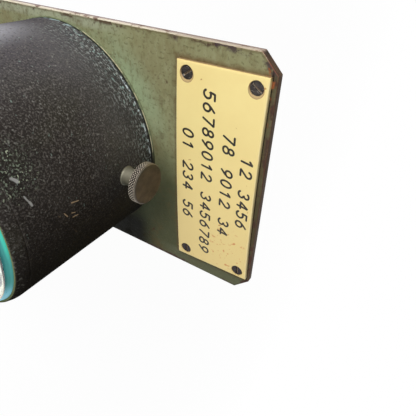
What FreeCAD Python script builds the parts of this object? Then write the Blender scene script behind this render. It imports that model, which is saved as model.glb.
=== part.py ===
import FreeCAD, Part
import math
import os

# Track circuit indicator, in millimetres.
# +Z is up and the dial faces -Y. The origin is on the case's axis, at the back plate's rear face.
# A depth is a distance in front of that rear face, so a point at depth d has y = -d.

V = FreeCAD.Vector

# Case: drum of 3 3/4 inch brass tube, with a turned bezel on its front
case_radius = 47.625
case_wall = 1.2
drum_length = 62.4
bezel_height = 4.7
bezel_sleeve_length = 5.3
bezel_sleeve_wall = 0.6
shoulder_length = 3.9
shoulder_drop = 0.43
lip_round = 0.85
lip_height = 1.0

# Back plate: painted steel, just wider than the case
plate_thickness = 3.175
plate_margin = 3.175
plate_corner = 6.35
plate_edge_round = 0.4
plate_top_margin = 2.15

# Label: engraved ivory-coloured plate above the case, with four countersunk screws
label_gap = 12.4
label_width = 87.2
label_height = 35.1
label_thickness = 1.6
label_edge_round = 0.35
label_screw_end_inset = 4.0
label_screw_low_inset = 4.8
label_screw_high_inset = 4.0
label_screw_shank = 1.4
label_screw_head = 2.4
label_screw_sunk = 0.6
label_screw_grip = 2.0
label_mouth_clearance = 0.1
label_slot_width = 0.7
label_slot_depth = 0.6
label_slot_turns = (126.0, 55.0, 1.0, 9.0)

# Base: brass casting that the case slides on to
flange_overhang = 0.45
flange_thickness = 0.9
floor_thickness = 3.0
spigot_height = 24.0
spigot_wall = 2.2
spigot_clearance = 0.3
spigot_chamfer = 1.0

# Screws that hold the base to the plate
base_screw_head = 3.4
base_screw_head_height = 2.2
base_screw_shank = 1.9
base_screw_end_gap = 0.6
base_screw_wall_gap = 1.0
base_slot_width = 1.0
base_slot_depth = 1.0

# Fixing holes for the user's own bolts, through base and plate
fixing_circle = 64.0
fixing_hole = 2.6

# Cable entry with its rubber bush
bush_bore = 3.5
bush_body = 4.8
bush_flange = 5.5
bush_flange_thickness = 1.6
bush_screw_gap = 1.5

# Glass, its seal and the spring ring behind it
glass_thickness = 5.0
glass_proud = 2.3
glass_clearance = 0.12
bevel_height = 3.3
bevel_width = 1.8
seal_thickness = 0.8
seal_width = 2.3
ring_thickness = 2.0
ring_width = 2.45
ring_split = 3.0

# Thumbscrew on top of the case
thumbscrew_depth = 19.875
boss_radius = 3.55
boss_tenon = 3.0
boss_height = 7.5
thread_radius = 2.35
thread_clearance = 0.05
thumb_head_radius = 8.1
thumb_head_height = 3.07
thumb_head_lift = 0.05
thumb_head_chamfer = 0.4
thumb_socket = 2.0
thumb_tip_gap = 0.3
knurl_count = 40
knurl_depth = 0.4

# Dial on its four pillars
needle_room = 4.8
dial_thickness = 1.2
dial_rim_gap = 0.9
dial_hole = 5.0
pillar_radius = 3.0
pillar_wall_gap = 2.4
pillar_turn = 33.0
dial_screw_head = 2.4
dial_screw_head_height = 1.1
dial_screw_shank = 1.2
dial_screw_grip = 5.0

# Front bridge that carries the needle's bearing
bridge_room = 6.8
bridge_thickness = 3.0
bridge_half_width = 6.5
bridge_pillar_radius = 3.0
bridge_pillar_gap = 2.125
bridge_screw_head = 2.8
bridge_screw_head_height = 1.6
bridge_screw_shank = 1.3
bridge_screw_grip = 6.0

# Electromagnet: two coils on a soft-iron yoke
yoke_thickness = 5.0
yoke_half_height = 7.0
yoke_overhang = 3.0
coil_gap = 13.0
coil_screw_gap = 2.2
core_radius = 4.5
core_tail = 3.0
bobbin_wall = 1.5
bobbin_flange = 2.0
winding_inset = 1.2
shoe_thickness = 8.0
shoe_half_height = 8.0
shoe_room = 3.5
pole_screw_head = 3.0
pole_screw_head_height = 1.5
pole_screw_shank = 1.5
pole_screw_grip = 5.0

# Armature, balance arm and needle, all on one spindle
spindle_radius = 1.5
bearing_clearance = 0.05
bearing_radius = 3.0
bearing_flange = 4.5
bearing_flange_thickness = 1.5
spindle_end_gap = 0.3
spindle_end_depth = 3.2
armature_radius = 12.9
air_gap = 0.6
armature_side_gap = 0.5
armature_hub = 4.0
armature_half_span = 18.0
armature_lead = 25.0
arm_thickness = 1.5
arm_half_width = 1.5
arm_hub = 3.0
arm_length = 9.4
weight_radius = 2.6
weight_side_gap = 0.4
weight_thickness = 2.4
stop_pin_radius = 0.8
stop_pin_reach = 6.0
stop_clearance = 0.05
needle_swing = 25.0
needle_length = 33.0
needle_tail = 11.0
needle_half_width = 1.5
needle_tip_half_width = 0.25
needle_thickness = 0.6
needle_dial_gap = 1.3
needle_eye = 3.8
needle_hub = 2.4
needle_hub_back = 0.6
needle_hub_front = 2.7

# Terminals and the wires to the coils
terminal_block_gap = 3.0
terminal_block_height = 9.0
terminal_block_thickness = 5.0
terminal_spacing = 12.0
terminal_stud = 2.0
terminal_stud_proud = 0.6
terminal_nose = 1.5
terminal_nose_length = 3.4
terminal_washer = 3.4
terminal_washer_thickness = 0.6
terminal_nut_flats = 6.4
terminal_nut_thickness = 2.4
block_screw_head = 2.2
block_screw_head_height = 1.2
block_screw_shank = 1.1
block_screw_grip = 2.0
block_screw_nut_gap = 0.5
block_screw_inset = 3.6
lead_radius = 0.6
lead_depth_up_coil = 6.0
link_pillar_gap = 1.1

# Depths and radii that follow from the sizes above
floor_front = plate_thickness + floor_thickness
flange_front = plate_thickness + flange_thickness
spigot_front = plate_thickness + spigot_height
drum_front = flange_front + drum_length
bezel_front = drum_front + bezel_height
glass_front = bezel_front + glass_proud
glass_back = glass_front - glass_thickness
bevel_back = glass_front - bevel_height
seal_back = glass_back - seal_thickness
ring_back = seal_back - ring_thickness

case_bore = case_radius - case_wall
glass_radius = case_bore - glass_clearance
spigot_radius = case_bore - spigot_clearance
base_bore = spigot_radius - spigot_wall

dial_front = glass_back - needle_room
dial_back = dial_front - dial_thickness
dial_radius = case_bore - dial_rim_gap
bridge_front = dial_back - bridge_room
bridge_back = bridge_front - bridge_thickness
shoe_front = bridge_back - shoe_room
shoe_back = shoe_front - shoe_thickness
yoke_front = floor_front + yoke_thickness

plate_half_width = case_radius + plate_margin
label_low = case_radius + label_gap
label_high = label_low + label_height
plate_top = label_high + plate_top_margin
label_face = plate_thickness + label_thickness

base_screw_circle = base_bore - base_screw_wall_gap - base_screw_head
pillar_circle = base_bore - pillar_wall_gap - pillar_radius
coil_flange_radius = (base_screw_circle - base_screw_head - coil_screw_gap - coil_gap / 2) / 2
coil_offset = coil_gap / 2 + coil_flange_radius
winding_radius = coil_flange_radius - winding_inset
bobbin_tube = core_radius + bobbin_wall
bush_height = base_screw_circle - base_screw_head - bush_screw_gap - bush_flange
block_low = -(base_screw_circle - base_screw_head - terminal_block_gap)
block_high = block_low + terminal_block_height
block_front = floor_front + terminal_block_thickness
terminal_level = (block_low + block_high) / 2
washer_front = block_front + terminal_washer_thickness
nuts_front = washer_front + 2 * terminal_nut_thickness
nose_back = nuts_front + terminal_stud_proud
nut_corner = terminal_nut_flats / 2 / math.cos(math.radians(30))
block_screw_offset = terminal_spacing / 2 + nut_corner + block_screw_nut_gap + block_screw_head
block_half_width = block_screw_offset + block_screw_inset
bridge_pillar_height = -block_high - bridge_pillar_gap - bridge_pillar_radius

SIDES = {"left": -1, "right": 1}
QUARTERS = (0, 90, 180, 270)
FRONT = V(0, -1, 0)


def rod(radius, back, front, x=0.0, z=0.0):
    """Round bar along the case's axis direction, between two depths."""
    return Part.makeCylinder(radius, front - back, V(x, -back, z), FRONT)


def taper(back_radius, front_radius, back, front, x=0.0, z=0.0):
    """Cone along the case's axis direction, between two depths."""
    return Part.makeCone(back_radius, front_radius, front - back, V(x, -back, z), FRONT)


def block(low_x, high_x, back, front, low_z, high_z):
    """Rectangular bar between two depths."""
    return Part.makeBox(high_x - low_x, front - back, high_z - low_z, V(low_x, -front, low_z))


def line(a, b):
    return Part.LineSegment(V(a[0], -a[1], 0), V(b[0], -b[1], 0)).toShape()


def curve(a, b, bulge):
    """Arc from a to b whose middle stands off the chord by the bulge, to the left of the way."""
    length = math.dist(a, b)
    mid = (
        (a[0] + b[0]) / 2 - bulge * (b[1] - a[1]) / length,
        (a[1] + b[1]) / 2 + bulge * (b[0] - a[0]) / length,
    )
    return Part.Arc(V(a[0], -a[1], 0), V(mid[0], -mid[1], 0), V(b[0], -b[1], 0)).toShape()


def turned(edges):
    """Solid turned about the case's axis from the edges of its half section."""
    return Part.Face(Part.Wire(edges)).revolve(V(0, 0, 0), V(0, 1, 0), 360)


def turned_corners(corners):
    """Solid turned about the case's axis from (radius, depth) corners."""
    return turned([line(a, b) for a, b in zip(corners, corners[1:] + corners[:1])])


def around(circle, angles):
    """Places (x, z) on a circle about the case's axis."""
    return [
        (circle * math.cos(math.radians(angle)), circle * math.sin(math.radians(angle)))
        for angle in angles
    ]


def swung(shape, angle):
    """The shape turned clockwise about the case's axis, as seen from the front."""
    turned_shape = shape.copy()
    turned_shape.rotate(V(0, 0, 0), V(0, 1, 0), angle)
    return turned_shape


def slot(width, depth, length, x, z, front, angle):
    """Cutter for a screwdriver slot across a head at (x, z)."""
    cutter = block(-length, length, front - depth, front + depth, -width / 2, width / 2)
    cutter.rotate(V(0, 0, 0), V(0, 1, 0), -angle)
    cutter.translate(V(x, 0, z))
    return cutter


def cheese_screw(place, seat, head, head_height, shank, grip, slot_width, slot_depth, angle):
    """Round-headed slotted screw, its head standing on the seat depth."""
    x, z = place
    screw = rod(head, seat, seat + head_height, x, z).fuse(rod(shank, seat - grip, seat, x, z))
    return screw.cut(slot(slot_width, slot_depth, 2 * head, x, z, seat + head_height, angle))


# Places that more than one piece uses
fixing_places = around(fixing_circle / 2, [45 + q for q in QUARTERS])
base_screw_places = around(base_screw_circle, QUARTERS)
pillar_angles = (pillar_turn, 180 - pillar_turn, 180 + pillar_turn, -pillar_turn)
pillar_places = around(pillar_circle, pillar_angles)
bridge_pillar_places = [(0.0, side * bridge_pillar_height) for side in (1, -1)]
label_screw_places = [
    (side * (label_width / 2 - label_screw_end_inset), height)
    for side in (-1, 1)
    for height in (label_low + label_screw_low_inset, label_high - label_screw_high_inset)
]
terminal_places = [(side * terminal_spacing / 2, terminal_level) for side in (-1, 1)]
block_screw_places = [(side * block_screw_offset, terminal_level) for side in (-1, 1)]
base_screw_grip = floor_thickness + plate_thickness - base_screw_end_gap
label_screw_end = label_face - label_screw_sunk - label_thickness - label_screw_grip


def back_plate():
    x = plate_half_width
    c = plate_corner
    corners = [
        (-x + c, plate_top), (x - c, plate_top), (x, plate_top - c), (x, -x + c),
        (x - c, -x), (-x + c, -x), (-x, -x + c), (-x, plate_top - c),
    ]
    outline = Part.makePolygon([V(px, 0, pz) for px, pz in corners + corners[:1]])
    plate = Part.Face(outline).extrude(V(0, -plate_thickness, 0))
    plate = plate.makeFillet(plate_edge_round, plate.Edges)
    holes = [rod(fixing_hole, -1, plate_thickness + 1, *place) for place in fixing_places]
    holes += [
        rod(base_screw_shank, base_screw_end_gap, plate_thickness + 1, *place)
        for place in base_screw_places
    ]
    holes += [
        rod(label_screw_shank, label_screw_end, plate_thickness + 1, *place)
        for place in label_screw_places
    ]
    holes.append(rod(bush_body, -1, plate_thickness + 1, 0, bush_height))
    return plate.cut(holes)


def countersink(place):
    """The cone and shank that a label screw fills."""
    x, z = place
    top = label_face - label_screw_sunk
    cone_height = label_screw_head - label_screw_shank
    cone = taper(label_screw_shank, label_screw_head, top - cone_height, top, x, z)
    return cone.fuse(rod(label_screw_shank, label_screw_end, top - cone_height / 2, x, z))


def label_plate():
    plate = block(
        -label_width / 2, label_width / 2, plate_thickness, label_face, label_low, label_high
    )
    front_edges = [
        edge for edge in plate.Edges
        if all(abs(vertex.Y + label_face) < 1e-6 for vertex in edge.Vertexes)
    ]
    plate = plate.makeFillet(label_edge_round, front_edges)
    mouths = [
        rod(
            label_screw_head + label_mouth_clearance, label_face - label_screw_sunk,
            label_face + 1, *place,
        )
        for place in label_screw_places
    ]
    return plate.cut([countersink(place) for place in label_screw_places] + mouths)


def label_screws():
    screws = []
    for place, turn in zip(label_screw_places, label_slot_turns):
        top = label_face - label_screw_sunk
        cutter = slot(
            label_slot_width, label_slot_depth, 2 * label_screw_head, *place, top, turn
        )
        screws.append(countersink(place).cut(cutter))
    return Part.makeCompound(screws)


def base_casting():
    flange_radius = case_radius + flange_overhang
    body = turned_corners([
        (0.0, plate_thickness), (flange_radius, plate_thickness), (flange_radius, flange_front),
        (spigot_radius, flange_front), (spigot_radius, spigot_front - spigot_chamfer),
        (spigot_radius - spigot_chamfer, spigot_front), (base_bore, spigot_front),
        (base_bore, floor_front), (0.0, floor_front),
    ])
    holes = [
        rod(fixing_hole, plate_thickness - 1, floor_front + 1, *place) for place in fixing_places
    ]
    holes += [
        rod(base_screw_shank, plate_thickness - 1, floor_front + 1, *place)
        for place in base_screw_places
    ]
    holes += [
        rod(block_screw_shank, floor_front - block_screw_grip, floor_front + 1, *place)
        for place in block_screw_places
    ]
    holes.append(rod(bush_body, plate_thickness - 1, floor_front + 1, 0, bush_height))
    return body.cut(holes)


def base_screws():
    return Part.makeCompound([
        cheese_screw(
            place, floor_front, base_screw_head, base_screw_head_height, base_screw_shank,
            base_screw_grip, base_slot_width, base_slot_depth, 20 * index,
        )
        for index, place in enumerate(base_screw_places)
    ])


def cable_bush():
    outer = rod(bush_body, 0, floor_front, 0, bush_height).fuse(
        rod(bush_flange, floor_front, floor_front + bush_flange_thickness, 0, bush_height)
    )
    return outer.cut(rod(bush_bore, -1, floor_front + bush_flange_thickness + 1, 0, bush_height))


def case_drum():
    sleeve_bore = case_bore + bezel_sleeve_wall
    drum = turned_corners([
        (case_bore, flange_front), (case_radius, flange_front), (case_radius, drum_front),
        (sleeve_bore, drum_front), (sleeve_bore, drum_front - bezel_sleeve_length),
        (case_bore, drum_front - bezel_sleeve_length),
    ])
    hole = Part.makeCylinder(boss_tenon, case_radius + 1, V(0, -thumbscrew_depth, 0), V(0, 0, 1))
    return drum.cut(hole)


def bezel():
    sleeve_back = drum_front - bezel_sleeve_length
    sleeve_outer = case_bore + bezel_sleeve_wall
    shoulder_end = (case_radius - shoulder_drop, drum_front + shoulder_length)
    lip_outer = (shoulder_end[0] - lip_round, bezel_front)
    lip_opening = glass_radius - bevel_width * (bezel_front - bevel_back) / bevel_height
    lip_opening += glass_clearance
    lip_back = (case_bore, bezel_front - lip_height)
    return turned([
        line((case_bore, sleeve_back), (sleeve_outer, sleeve_back)),
        line((sleeve_outer, sleeve_back), (sleeve_outer, drum_front)),
        line((sleeve_outer, drum_front), (case_radius, drum_front)),
        curve((case_radius, drum_front), shoulder_end, -shoulder_drop / 4),
        curve(shoulder_end, lip_outer, -0.2 * lip_round),
        line(lip_outer, (lip_opening, bezel_front)),
        line((lip_opening, bezel_front), lip_back),
        line(lip_back, (case_bore, sleeve_back)),
    ])


def window_glass():
    return turned_corners([
        (0.0, glass_back), (glass_radius, glass_back), (glass_radius, bevel_back),
        (glass_radius - bevel_width, glass_front), (0.0, glass_front),
    ])


def glass_seal():
    return turned_corners([
        (glass_radius - seal_width, seal_back), (glass_radius, seal_back),
        (glass_radius, glass_back), (glass_radius - seal_width, glass_back),
    ])


def glass_ring():
    ring = turned_corners([
        (case_bore - ring_width, ring_back), (case_bore, ring_back),
        (case_bore, seal_back), (case_bore - ring_width, seal_back),
    ])
    half = ring_split / 2
    return ring.cut(block(-half, half, ring_back - 1, seal_back + 1, -case_radius, 0))


def upright(radius, low, high):
    """Round bar along Z on the thumbscrew's axis."""
    return Part.makeCylinder(radius, high - low, V(0, -thumbscrew_depth, low), V(0, 0, 1))


boss_top = case_radius + boss_height
thumb_low = boss_top + thumb_head_lift
thumb_high = thumb_low + thumb_head_height
thread_bore = thread_radius + thread_clearance


def thumbscrew_boss():
    outside = upright(boss_radius, 0, boss_top).cut(rod(case_radius, 0, bezel_front))
    tenon = upright(boss_tenon, 0, case_radius + 1).cut(rod(case_bore, 0, bezel_front))
    return outside.fuse(tenon).cut(upright(thread_bore, 0, boss_top + 1))


def thumbscrew_shank():
    return upright(thread_radius, spigot_radius + thumb_tip_gap, thumb_low + thumb_socket)


def thumbscrew_head():
    head = upright(thumb_head_radius, thumb_low, thumb_high)
    rims = [
        edge for edge in head.Edges
        if len(edge.Vertexes) == 1 and abs(edge.Length - 2 * math.pi * thumb_head_radius) < 0.01
    ]
    head = head.makeChamfer(thumb_head_chamfer, rims)
    groove = Part.makePolygon([
        V(thumb_head_radius - knurl_depth, 0, thumb_low - 1),
        V(thumb_head_radius + knurl_depth, knurl_depth, thumb_low - 1),
        V(thumb_head_radius + knurl_depth, -knurl_depth, thumb_low - 1),
        V(thumb_head_radius - knurl_depth, 0, thumb_low - 1),
    ])
    cutter = Part.Face(groove).extrude(V(0, 0, thumb_head_height + 2))
    grooves = []
    for index in range(knurl_count):
        one = cutter.copy()
        one.rotate(V(0, 0, 0), V(0, 0, 1), 360 * index / knurl_count)
        one.translate(V(0, -thumbscrew_depth, 0))
        grooves.append(one)
    socket = upright(thread_bore, thumb_low - 1, thumb_low + thumb_socket + thumb_head_lift)
    return head.cut(grooves + [socket])


def dial_pillars():
    pillars = []
    for place in pillar_places:
        pillar = rod(pillar_radius, floor_front, dial_back, *place)
        tapped = rod(dial_screw_shank, dial_back - dial_screw_grip, dial_back + 1, *place)
        pillars.append(pillar.cut(tapped))
    return Part.makeCompound(pillars)


def dial_plate():
    plate = rod(dial_radius, dial_back, dial_front)
    holes = [rod(dial_screw_shank, dial_back - 1, dial_front + 1, *p) for p in pillar_places]
    return plate.cut(holes + [rod(dial_hole, dial_back - 1, dial_front + 1)])


def dial_screws():
    return Part.makeCompound([
        cheese_screw(
            place, dial_front, dial_screw_head, dial_screw_head_height, dial_screw_shank,
            dial_screw_grip + dial_thickness, label_slot_width, label_slot_depth, 35 * index,
        )
        for index, place in enumerate(pillar_places)
    ])


def yoke():
    reach = coil_offset + core_radius + yoke_overhang
    bar = block(-reach, reach, floor_front, yoke_front, -yoke_half_height, yoke_half_height)
    holes = [
        rod(core_tail, floor_front - 1, yoke_front + 1, side * coil_offset, 0)
        for side in SIDES.values()
    ]
    return bar.cut(holes + [rod(bearing_radius, floor_front - 1, yoke_front + 1)])


def coil_core(side):
    x = side * coil_offset
    core = rod(core_radius, yoke_front, shoe_back, x, 0).fuse(
        rod(core_tail, floor_front, yoke_front, x, 0)
    )
    return core.cut(rod(pole_screw_shank, shoe_back - pole_screw_grip, shoe_back + 1, x, 0))


def coil_bobbin(side):
    x = side * coil_offset
    spool = rod(bobbin_tube, yoke_front, shoe_back, x, 0).fuse([
        rod(coil_flange_radius, yoke_front, yoke_front + bobbin_flange, x, 0),
        rod(coil_flange_radius, shoe_back - bobbin_flange, shoe_back, x, 0),
    ])
    return spool.cut(rod(core_radius, yoke_front - 1, shoe_back + 1, x, 0))


def coil_winding(side):
    x = side * coil_offset
    back = yoke_front + bobbin_flange
    front = shoe_back - bobbin_flange
    return rod(winding_radius, back, front, x, 0).cut(rod(bobbin_tube, back, front, x, 0))


def pole_shoe(side):
    x = side * coil_offset
    inner = side * armature_radius / 2
    low, high = min(x, inner), max(x, inner)
    shoe = block(low, high, shoe_back, shoe_front, -shoe_half_height, shoe_half_height)
    shoe = shoe.fuse(rod(shoe_half_height, shoe_back, shoe_front, x, 0))
    sweep = rod(armature_radius + air_gap, shoe_back - 1, shoe_front + 1)
    hole = rod(pole_screw_shank, shoe_back - 1, shoe_front + 1, x, 0)
    seat = taper(
        pole_screw_shank, pole_screw_head, shoe_front - pole_screw_head_height, shoe_front, x, 0
    )
    return shoe.cut([sweep, hole, seat])


def pole_screws():
    screws = []
    for side in SIDES.values():
        x = side * coil_offset
        shank = rod(pole_screw_shank, shoe_back - pole_screw_grip, shoe_front, x, 0)
        head = taper(
            pole_screw_shank, pole_screw_head, shoe_front - pole_screw_head_height, shoe_front,
            x, 0,
        )
        cutter = slot(
            label_slot_width, label_slot_depth, 2 * pole_screw_head, x, 0, shoe_front, 40 * side
        )
        screws.append(shank.fuse(head).cut(cutter))
    return Part.makeCompound(screws)


def rear_bearing():
    bush = rod(bearing_radius, floor_front, yoke_front).fuse(
        rod(bearing_flange, yoke_front, yoke_front + bearing_flange_thickness)
    )
    bore_end = floor_front + bearing_flange_thickness
    bush_end = yoke_front + bearing_flange_thickness
    return bush.cut(rod(spindle_radius + bearing_clearance, bore_end, bush_end + 1))


def bridge_pillars():
    pillars = []
    for place in bridge_pillar_places:
        pillar = rod(bridge_pillar_radius, floor_front, bridge_back, *place)
        tapped = rod(bridge_screw_shank, bridge_back - bridge_screw_grip, bridge_back + 1, *place)
        pillars.append(pillar.cut(tapped))
    return Part.makeCompound(pillars)


def stop_pin_places():
    """The pins stand beside the balance arm at each end of the needle's swing."""
    offset = arm_half_width + stop_pin_radius + stop_clearance
    spread = needle_swing + math.degrees(math.asin(offset / stop_pin_reach))
    return around(stop_pin_reach, (spread, -spread))


def front_bridge():
    half = bridge_half_width
    strap = block(
        -half, half, bridge_back, bridge_front, -bridge_pillar_height, bridge_pillar_height
    )
    strap = strap.fuse([
        rod(half, bridge_back, bridge_front, *place) for place in bridge_pillar_places
    ])
    holes = [rod(spindle_radius + bearing_clearance, bridge_back - 1, bridge_front + 1)]
    holes += [
        rod(bridge_screw_shank, bridge_back - 1, bridge_front + 1, *place)
        for place in bridge_pillar_places
    ]
    holes += [
        rod(stop_pin_radius, bridge_back - 1, bridge_front + 1, *place)
        for place in stop_pin_places()
    ]
    return strap.cut(holes)


def bridge_screws():
    return Part.makeCompound([
        cheese_screw(
            place, bridge_front, bridge_screw_head, bridge_screw_head_height,
            bridge_screw_shank, bridge_screw_grip + bridge_thickness, label_slot_width,
            label_slot_depth, 60 * index,
        )
        for index, place in enumerate(bridge_pillar_places)
    ])


arm_back = bridge_back - weight_side_gap - weight_thickness / 2 - arm_thickness / 2
arm_front = arm_back + arm_thickness


def stop_pins():
    return Part.makeCompound([
        rod(stop_pin_radius, arm_back, bridge_front, *place) for place in stop_pin_places()
    ])


def spindle():
    return rod(
        spindle_radius, floor_front + bearing_flange_thickness + spindle_end_gap,
        dial_front + spindle_end_depth,
    )


def armature():
    """Soft-iron rotor with two sector-shaped ends, drawn into line with the pole shoes."""
    back = shoe_back + armature_side_gap
    front = shoe_front - armature_side_gap
    height = armature_radius * math.tan(math.radians(armature_half_span))
    ends = []
    for side in (-1, 1):
        wedge = Part.makePolygon([
            V(0, -back, 0), V(side * armature_radius, -back, height),
            V(side * armature_radius, -back, -height), V(0, -back, 0),
        ])
        ends.append(Part.Face(wedge).extrude(V(0, back - front, 0)))
    rotor = rod(armature_hub, back, front).fuse(ends).common(rod(armature_radius, back, front))
    return swung(rotor.cut(rod(spindle_radius, back - 1, front + 1)), needle_swing + armature_lead)


def balance_arm():
    arm = block(0, arm_length, arm_back, arm_front, -arm_half_width, arm_half_width)
    arm = arm.fuse(rod(arm_hub, arm_back, arm_front))
    arm = arm.cut([
        rod(spindle_radius, arm_back - 1, arm_front + 1),
        rod(weight_radius, arm_back - 1, arm_front + 1, arm_length, 0),
    ])
    return swung(arm, needle_swing)


def balance_weight():
    middle = (arm_back + arm_front) / 2
    weight = rod(
        weight_radius, middle - weight_thickness / 2, middle + weight_thickness / 2, arm_length, 0
    )
    return swung(weight, needle_swing)


def needle_pointer():
    back = dial_front + needle_dial_gap
    blade = Part.makePolygon([
        V(-needle_half_width, -back, -needle_tail), V(needle_half_width, -back, -needle_tail),
        V(needle_half_width * 0.8, -back, 0), V(needle_tip_half_width, -back, needle_length),
        V(-needle_tip_half_width, -back, needle_length), V(-needle_half_width * 0.8, -back, 0),
        V(-needle_half_width, -back, -needle_tail),
    ])
    pointer = Part.Face(blade).extrude(V(0, -needle_thickness, 0))
    pointer = pointer.fuse(rod(needle_eye, back, back + needle_thickness))
    return swung(
        pointer.cut(rod(needle_hub, back - 1, back + needle_thickness + 1)), needle_swing
    )


def needle_boss():
    back = dial_front + needle_hub_back
    front = dial_front + needle_hub_front
    return rod(needle_hub, back, front).cut(rod(spindle_radius, back - 1, front + 1))


def terminal_block():
    half = block_half_width
    body = block(-half, half, floor_front, block_front, block_low, block_high)
    holes = [rod(terminal_stud, floor_front - 1, block_front + 1, *p) for p in terminal_places]
    holes += [
        rod(block_screw_shank, floor_front - 1, block_front + 1, *p) for p in block_screw_places
    ]
    return body.cut(holes)


def block_screws():
    return Part.makeCompound([
        cheese_screw(
            place, block_front, block_screw_head, block_screw_head_height, block_screw_shank,
            terminal_block_thickness + block_screw_grip, label_slot_width, label_slot_depth,
            90 * index,
        )
        for index, place in enumerate(block_screw_places)
    ])


def terminal_studs():
    """Threaded studs, each with a thinner free end for the user's own wire."""
    return Part.makeCompound([
        rod(terminal_stud, floor_front, nose_back, *place).fuse(
            rod(terminal_nose, nose_back, nose_back + terminal_nose_length, *place)
        )
        for place in terminal_places
    ])


def terminal_washers():
    return Part.makeCompound([
        rod(terminal_washer, block_front, washer_front, *place).cut(
            rod(terminal_stud, block_front - 1, washer_front + 1, *place)
        )
        for place in terminal_places
    ])


def terminal_nuts():
    """Two hexagon nuts on each stud, the lower one on the washer and the upper one free for a wire."""
    corners = around(nut_corner, range(0, 361, 60))
    nuts = []
    for x, z in terminal_places:
        for back in (washer_front, washer_front + terminal_nut_thickness):
            ring = Part.makePolygon([V(x + cx, -back, z + cz) for cx, cz in corners])
            nut = Part.Face(ring).extrude(V(0, -terminal_nut_thickness, 0))
            stud = rod(terminal_stud, back - 1, back + terminal_nut_thickness + 1, x, z)
            nuts.append(nut.cut(stud))
    return Part.makeCompound(nuts)


def wire(points):
    """Round wire of straight runs joined by the largest tangent arcs that the runs allow."""
    points = [V(*point) for point in points]
    edges = []
    start = points[0]
    for before, corner, after in zip(points, points[1:], points[2:]):
        run_in = corner.sub(before)
        run_out = after.sub(corner)
        trim = 0.45 * min(run_in.Length, run_out.Length)
        a = corner.sub(V(run_in).normalize().multiply(trim))
        b = corner.add(V(run_out).normalize().multiply(trim))
        turn = run_in.getAngle(run_out)
        bend = trim / math.tan(turn / 2)
        inward = a.add(b).multiply(0.5).sub(corner)
        to_centre = math.hypot(trim, bend)
        mid = corner.add(V(inward).normalize().multiply(to_centre - bend))
        edges.append(Part.LineSegment(start, a).toShape())
        edges.append(Part.Arc(a, mid, b).toShape())
        start = b
    edges.append(Part.LineSegment(start, points[-1]).toShape())
    path = Part.Wire(edges)
    direction = points[1].sub(points[0])
    section = Part.Wire(Part.makeCircle(lead_radius, points[0], direction))
    return path.makePipeShell([section], True, True)


lead_depth = yoke_front + bobbin_flange + lead_depth_up_coil


def winding_exit(side, up, out):
    """A point off a winding's surface, on its inner side, above or below the coil's middle."""
    angle = math.radians(70)
    radius = winding_radius + out
    return (side * (coil_offset - radius * math.cos(angle)), -lead_depth, up * radius * math.sin(angle))


def coil_lead(side):
    """Wire from a winding down to its terminal's side, ending against the lower nut."""
    flat = terminal_nut_flats / 2
    level = (washer_front + terminal_nut_thickness / 2)
    x = side * terminal_spacing / 2
    return wire([
        winding_exit(side, -1, 0.0),
        winding_exit(side, -1, 4.0),
        (x + side * 3.0, -(lead_depth + level) / 2 , terminal_level + flat + 5.5),
        (x, -level, terminal_level + flat + 2.6),
        (x, -level, terminal_level + flat),
    ])


def coil_link():
    """Wire that joins the two windings in series, over the spindle."""
    rise = bridge_pillar_height - bridge_pillar_radius - link_pillar_gap - lead_radius
    return wire([
        winding_exit(-1, 1, 0.0),
        winding_exit(-1, 1, 1.8),
        (-coil_gap / 2, -lead_depth, rise),
        (coil_gap / 2, -lead_depth, rise),
        winding_exit(1, 1, 1.8),
        winding_exit(1, 1, 0.0),
    ])


parts = {
    "back_plate": back_plate(),
    "label_plate": label_plate(),
    "label_screws": label_screws(),
    "base_casting": base_casting(),
    "base_screws": base_screws(),
    "cable_bush": cable_bush(),
    "case_drum": case_drum(),
    "bezel": bezel(),
    "window_glass": window_glass(),
    "glass_seal": glass_seal(),
    "glass_ring": glass_ring(),
    "thumbscrew_boss": thumbscrew_boss(),
    "thumbscrew_shank": thumbscrew_shank(),
    "thumbscrew_head": thumbscrew_head(),
    "dial_pillars": dial_pillars(),
    "dial_plate": dial_plate(),
    "dial_screws": dial_screws(),
    "yoke": yoke(),
    "pole_screws": pole_screws(),
    "rear_bearing": rear_bearing(),
    "bridge_pillars": bridge_pillars(),
    "front_bridge": front_bridge(),
    "bridge_screws": bridge_screws(),
    "stop_pins": stop_pins(),
    "spindle": spindle(),
    "armature": armature(),
    "balance_arm": balance_arm(),
    "balance_weight": balance_weight(),
    "needle_pointer": needle_pointer(),
    "needle_boss": needle_boss(),
    "terminal_block": terminal_block(),
    "block_screws": block_screws(),
    "terminal_studs": terminal_studs(),
    "terminal_washers": terminal_washers(),
    "terminal_nuts": terminal_nuts(),
    "coil_link": coil_link(),
}
for name, side in SIDES.items():
    parts[name + "_coil_core"] = coil_core(side)
    parts[name + "_coil_bobbin"] = coil_bobbin(side)
    parts[name + "_winding"] = coil_winding(side)
    parts[name + "_pole_shoe"] = pole_shoe(side)
    parts[name + "_coil_lead"] = coil_lead(side)

os.makedirs("parts", exist_ok=True)
for name, shape in parts.items():
    shape.exportStep(f"parts/{name}.step")
    print(name, len(shape.Solids), "solids", round(shape.Volume, 2), "mm3", shape.isValid())
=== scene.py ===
import math

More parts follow.
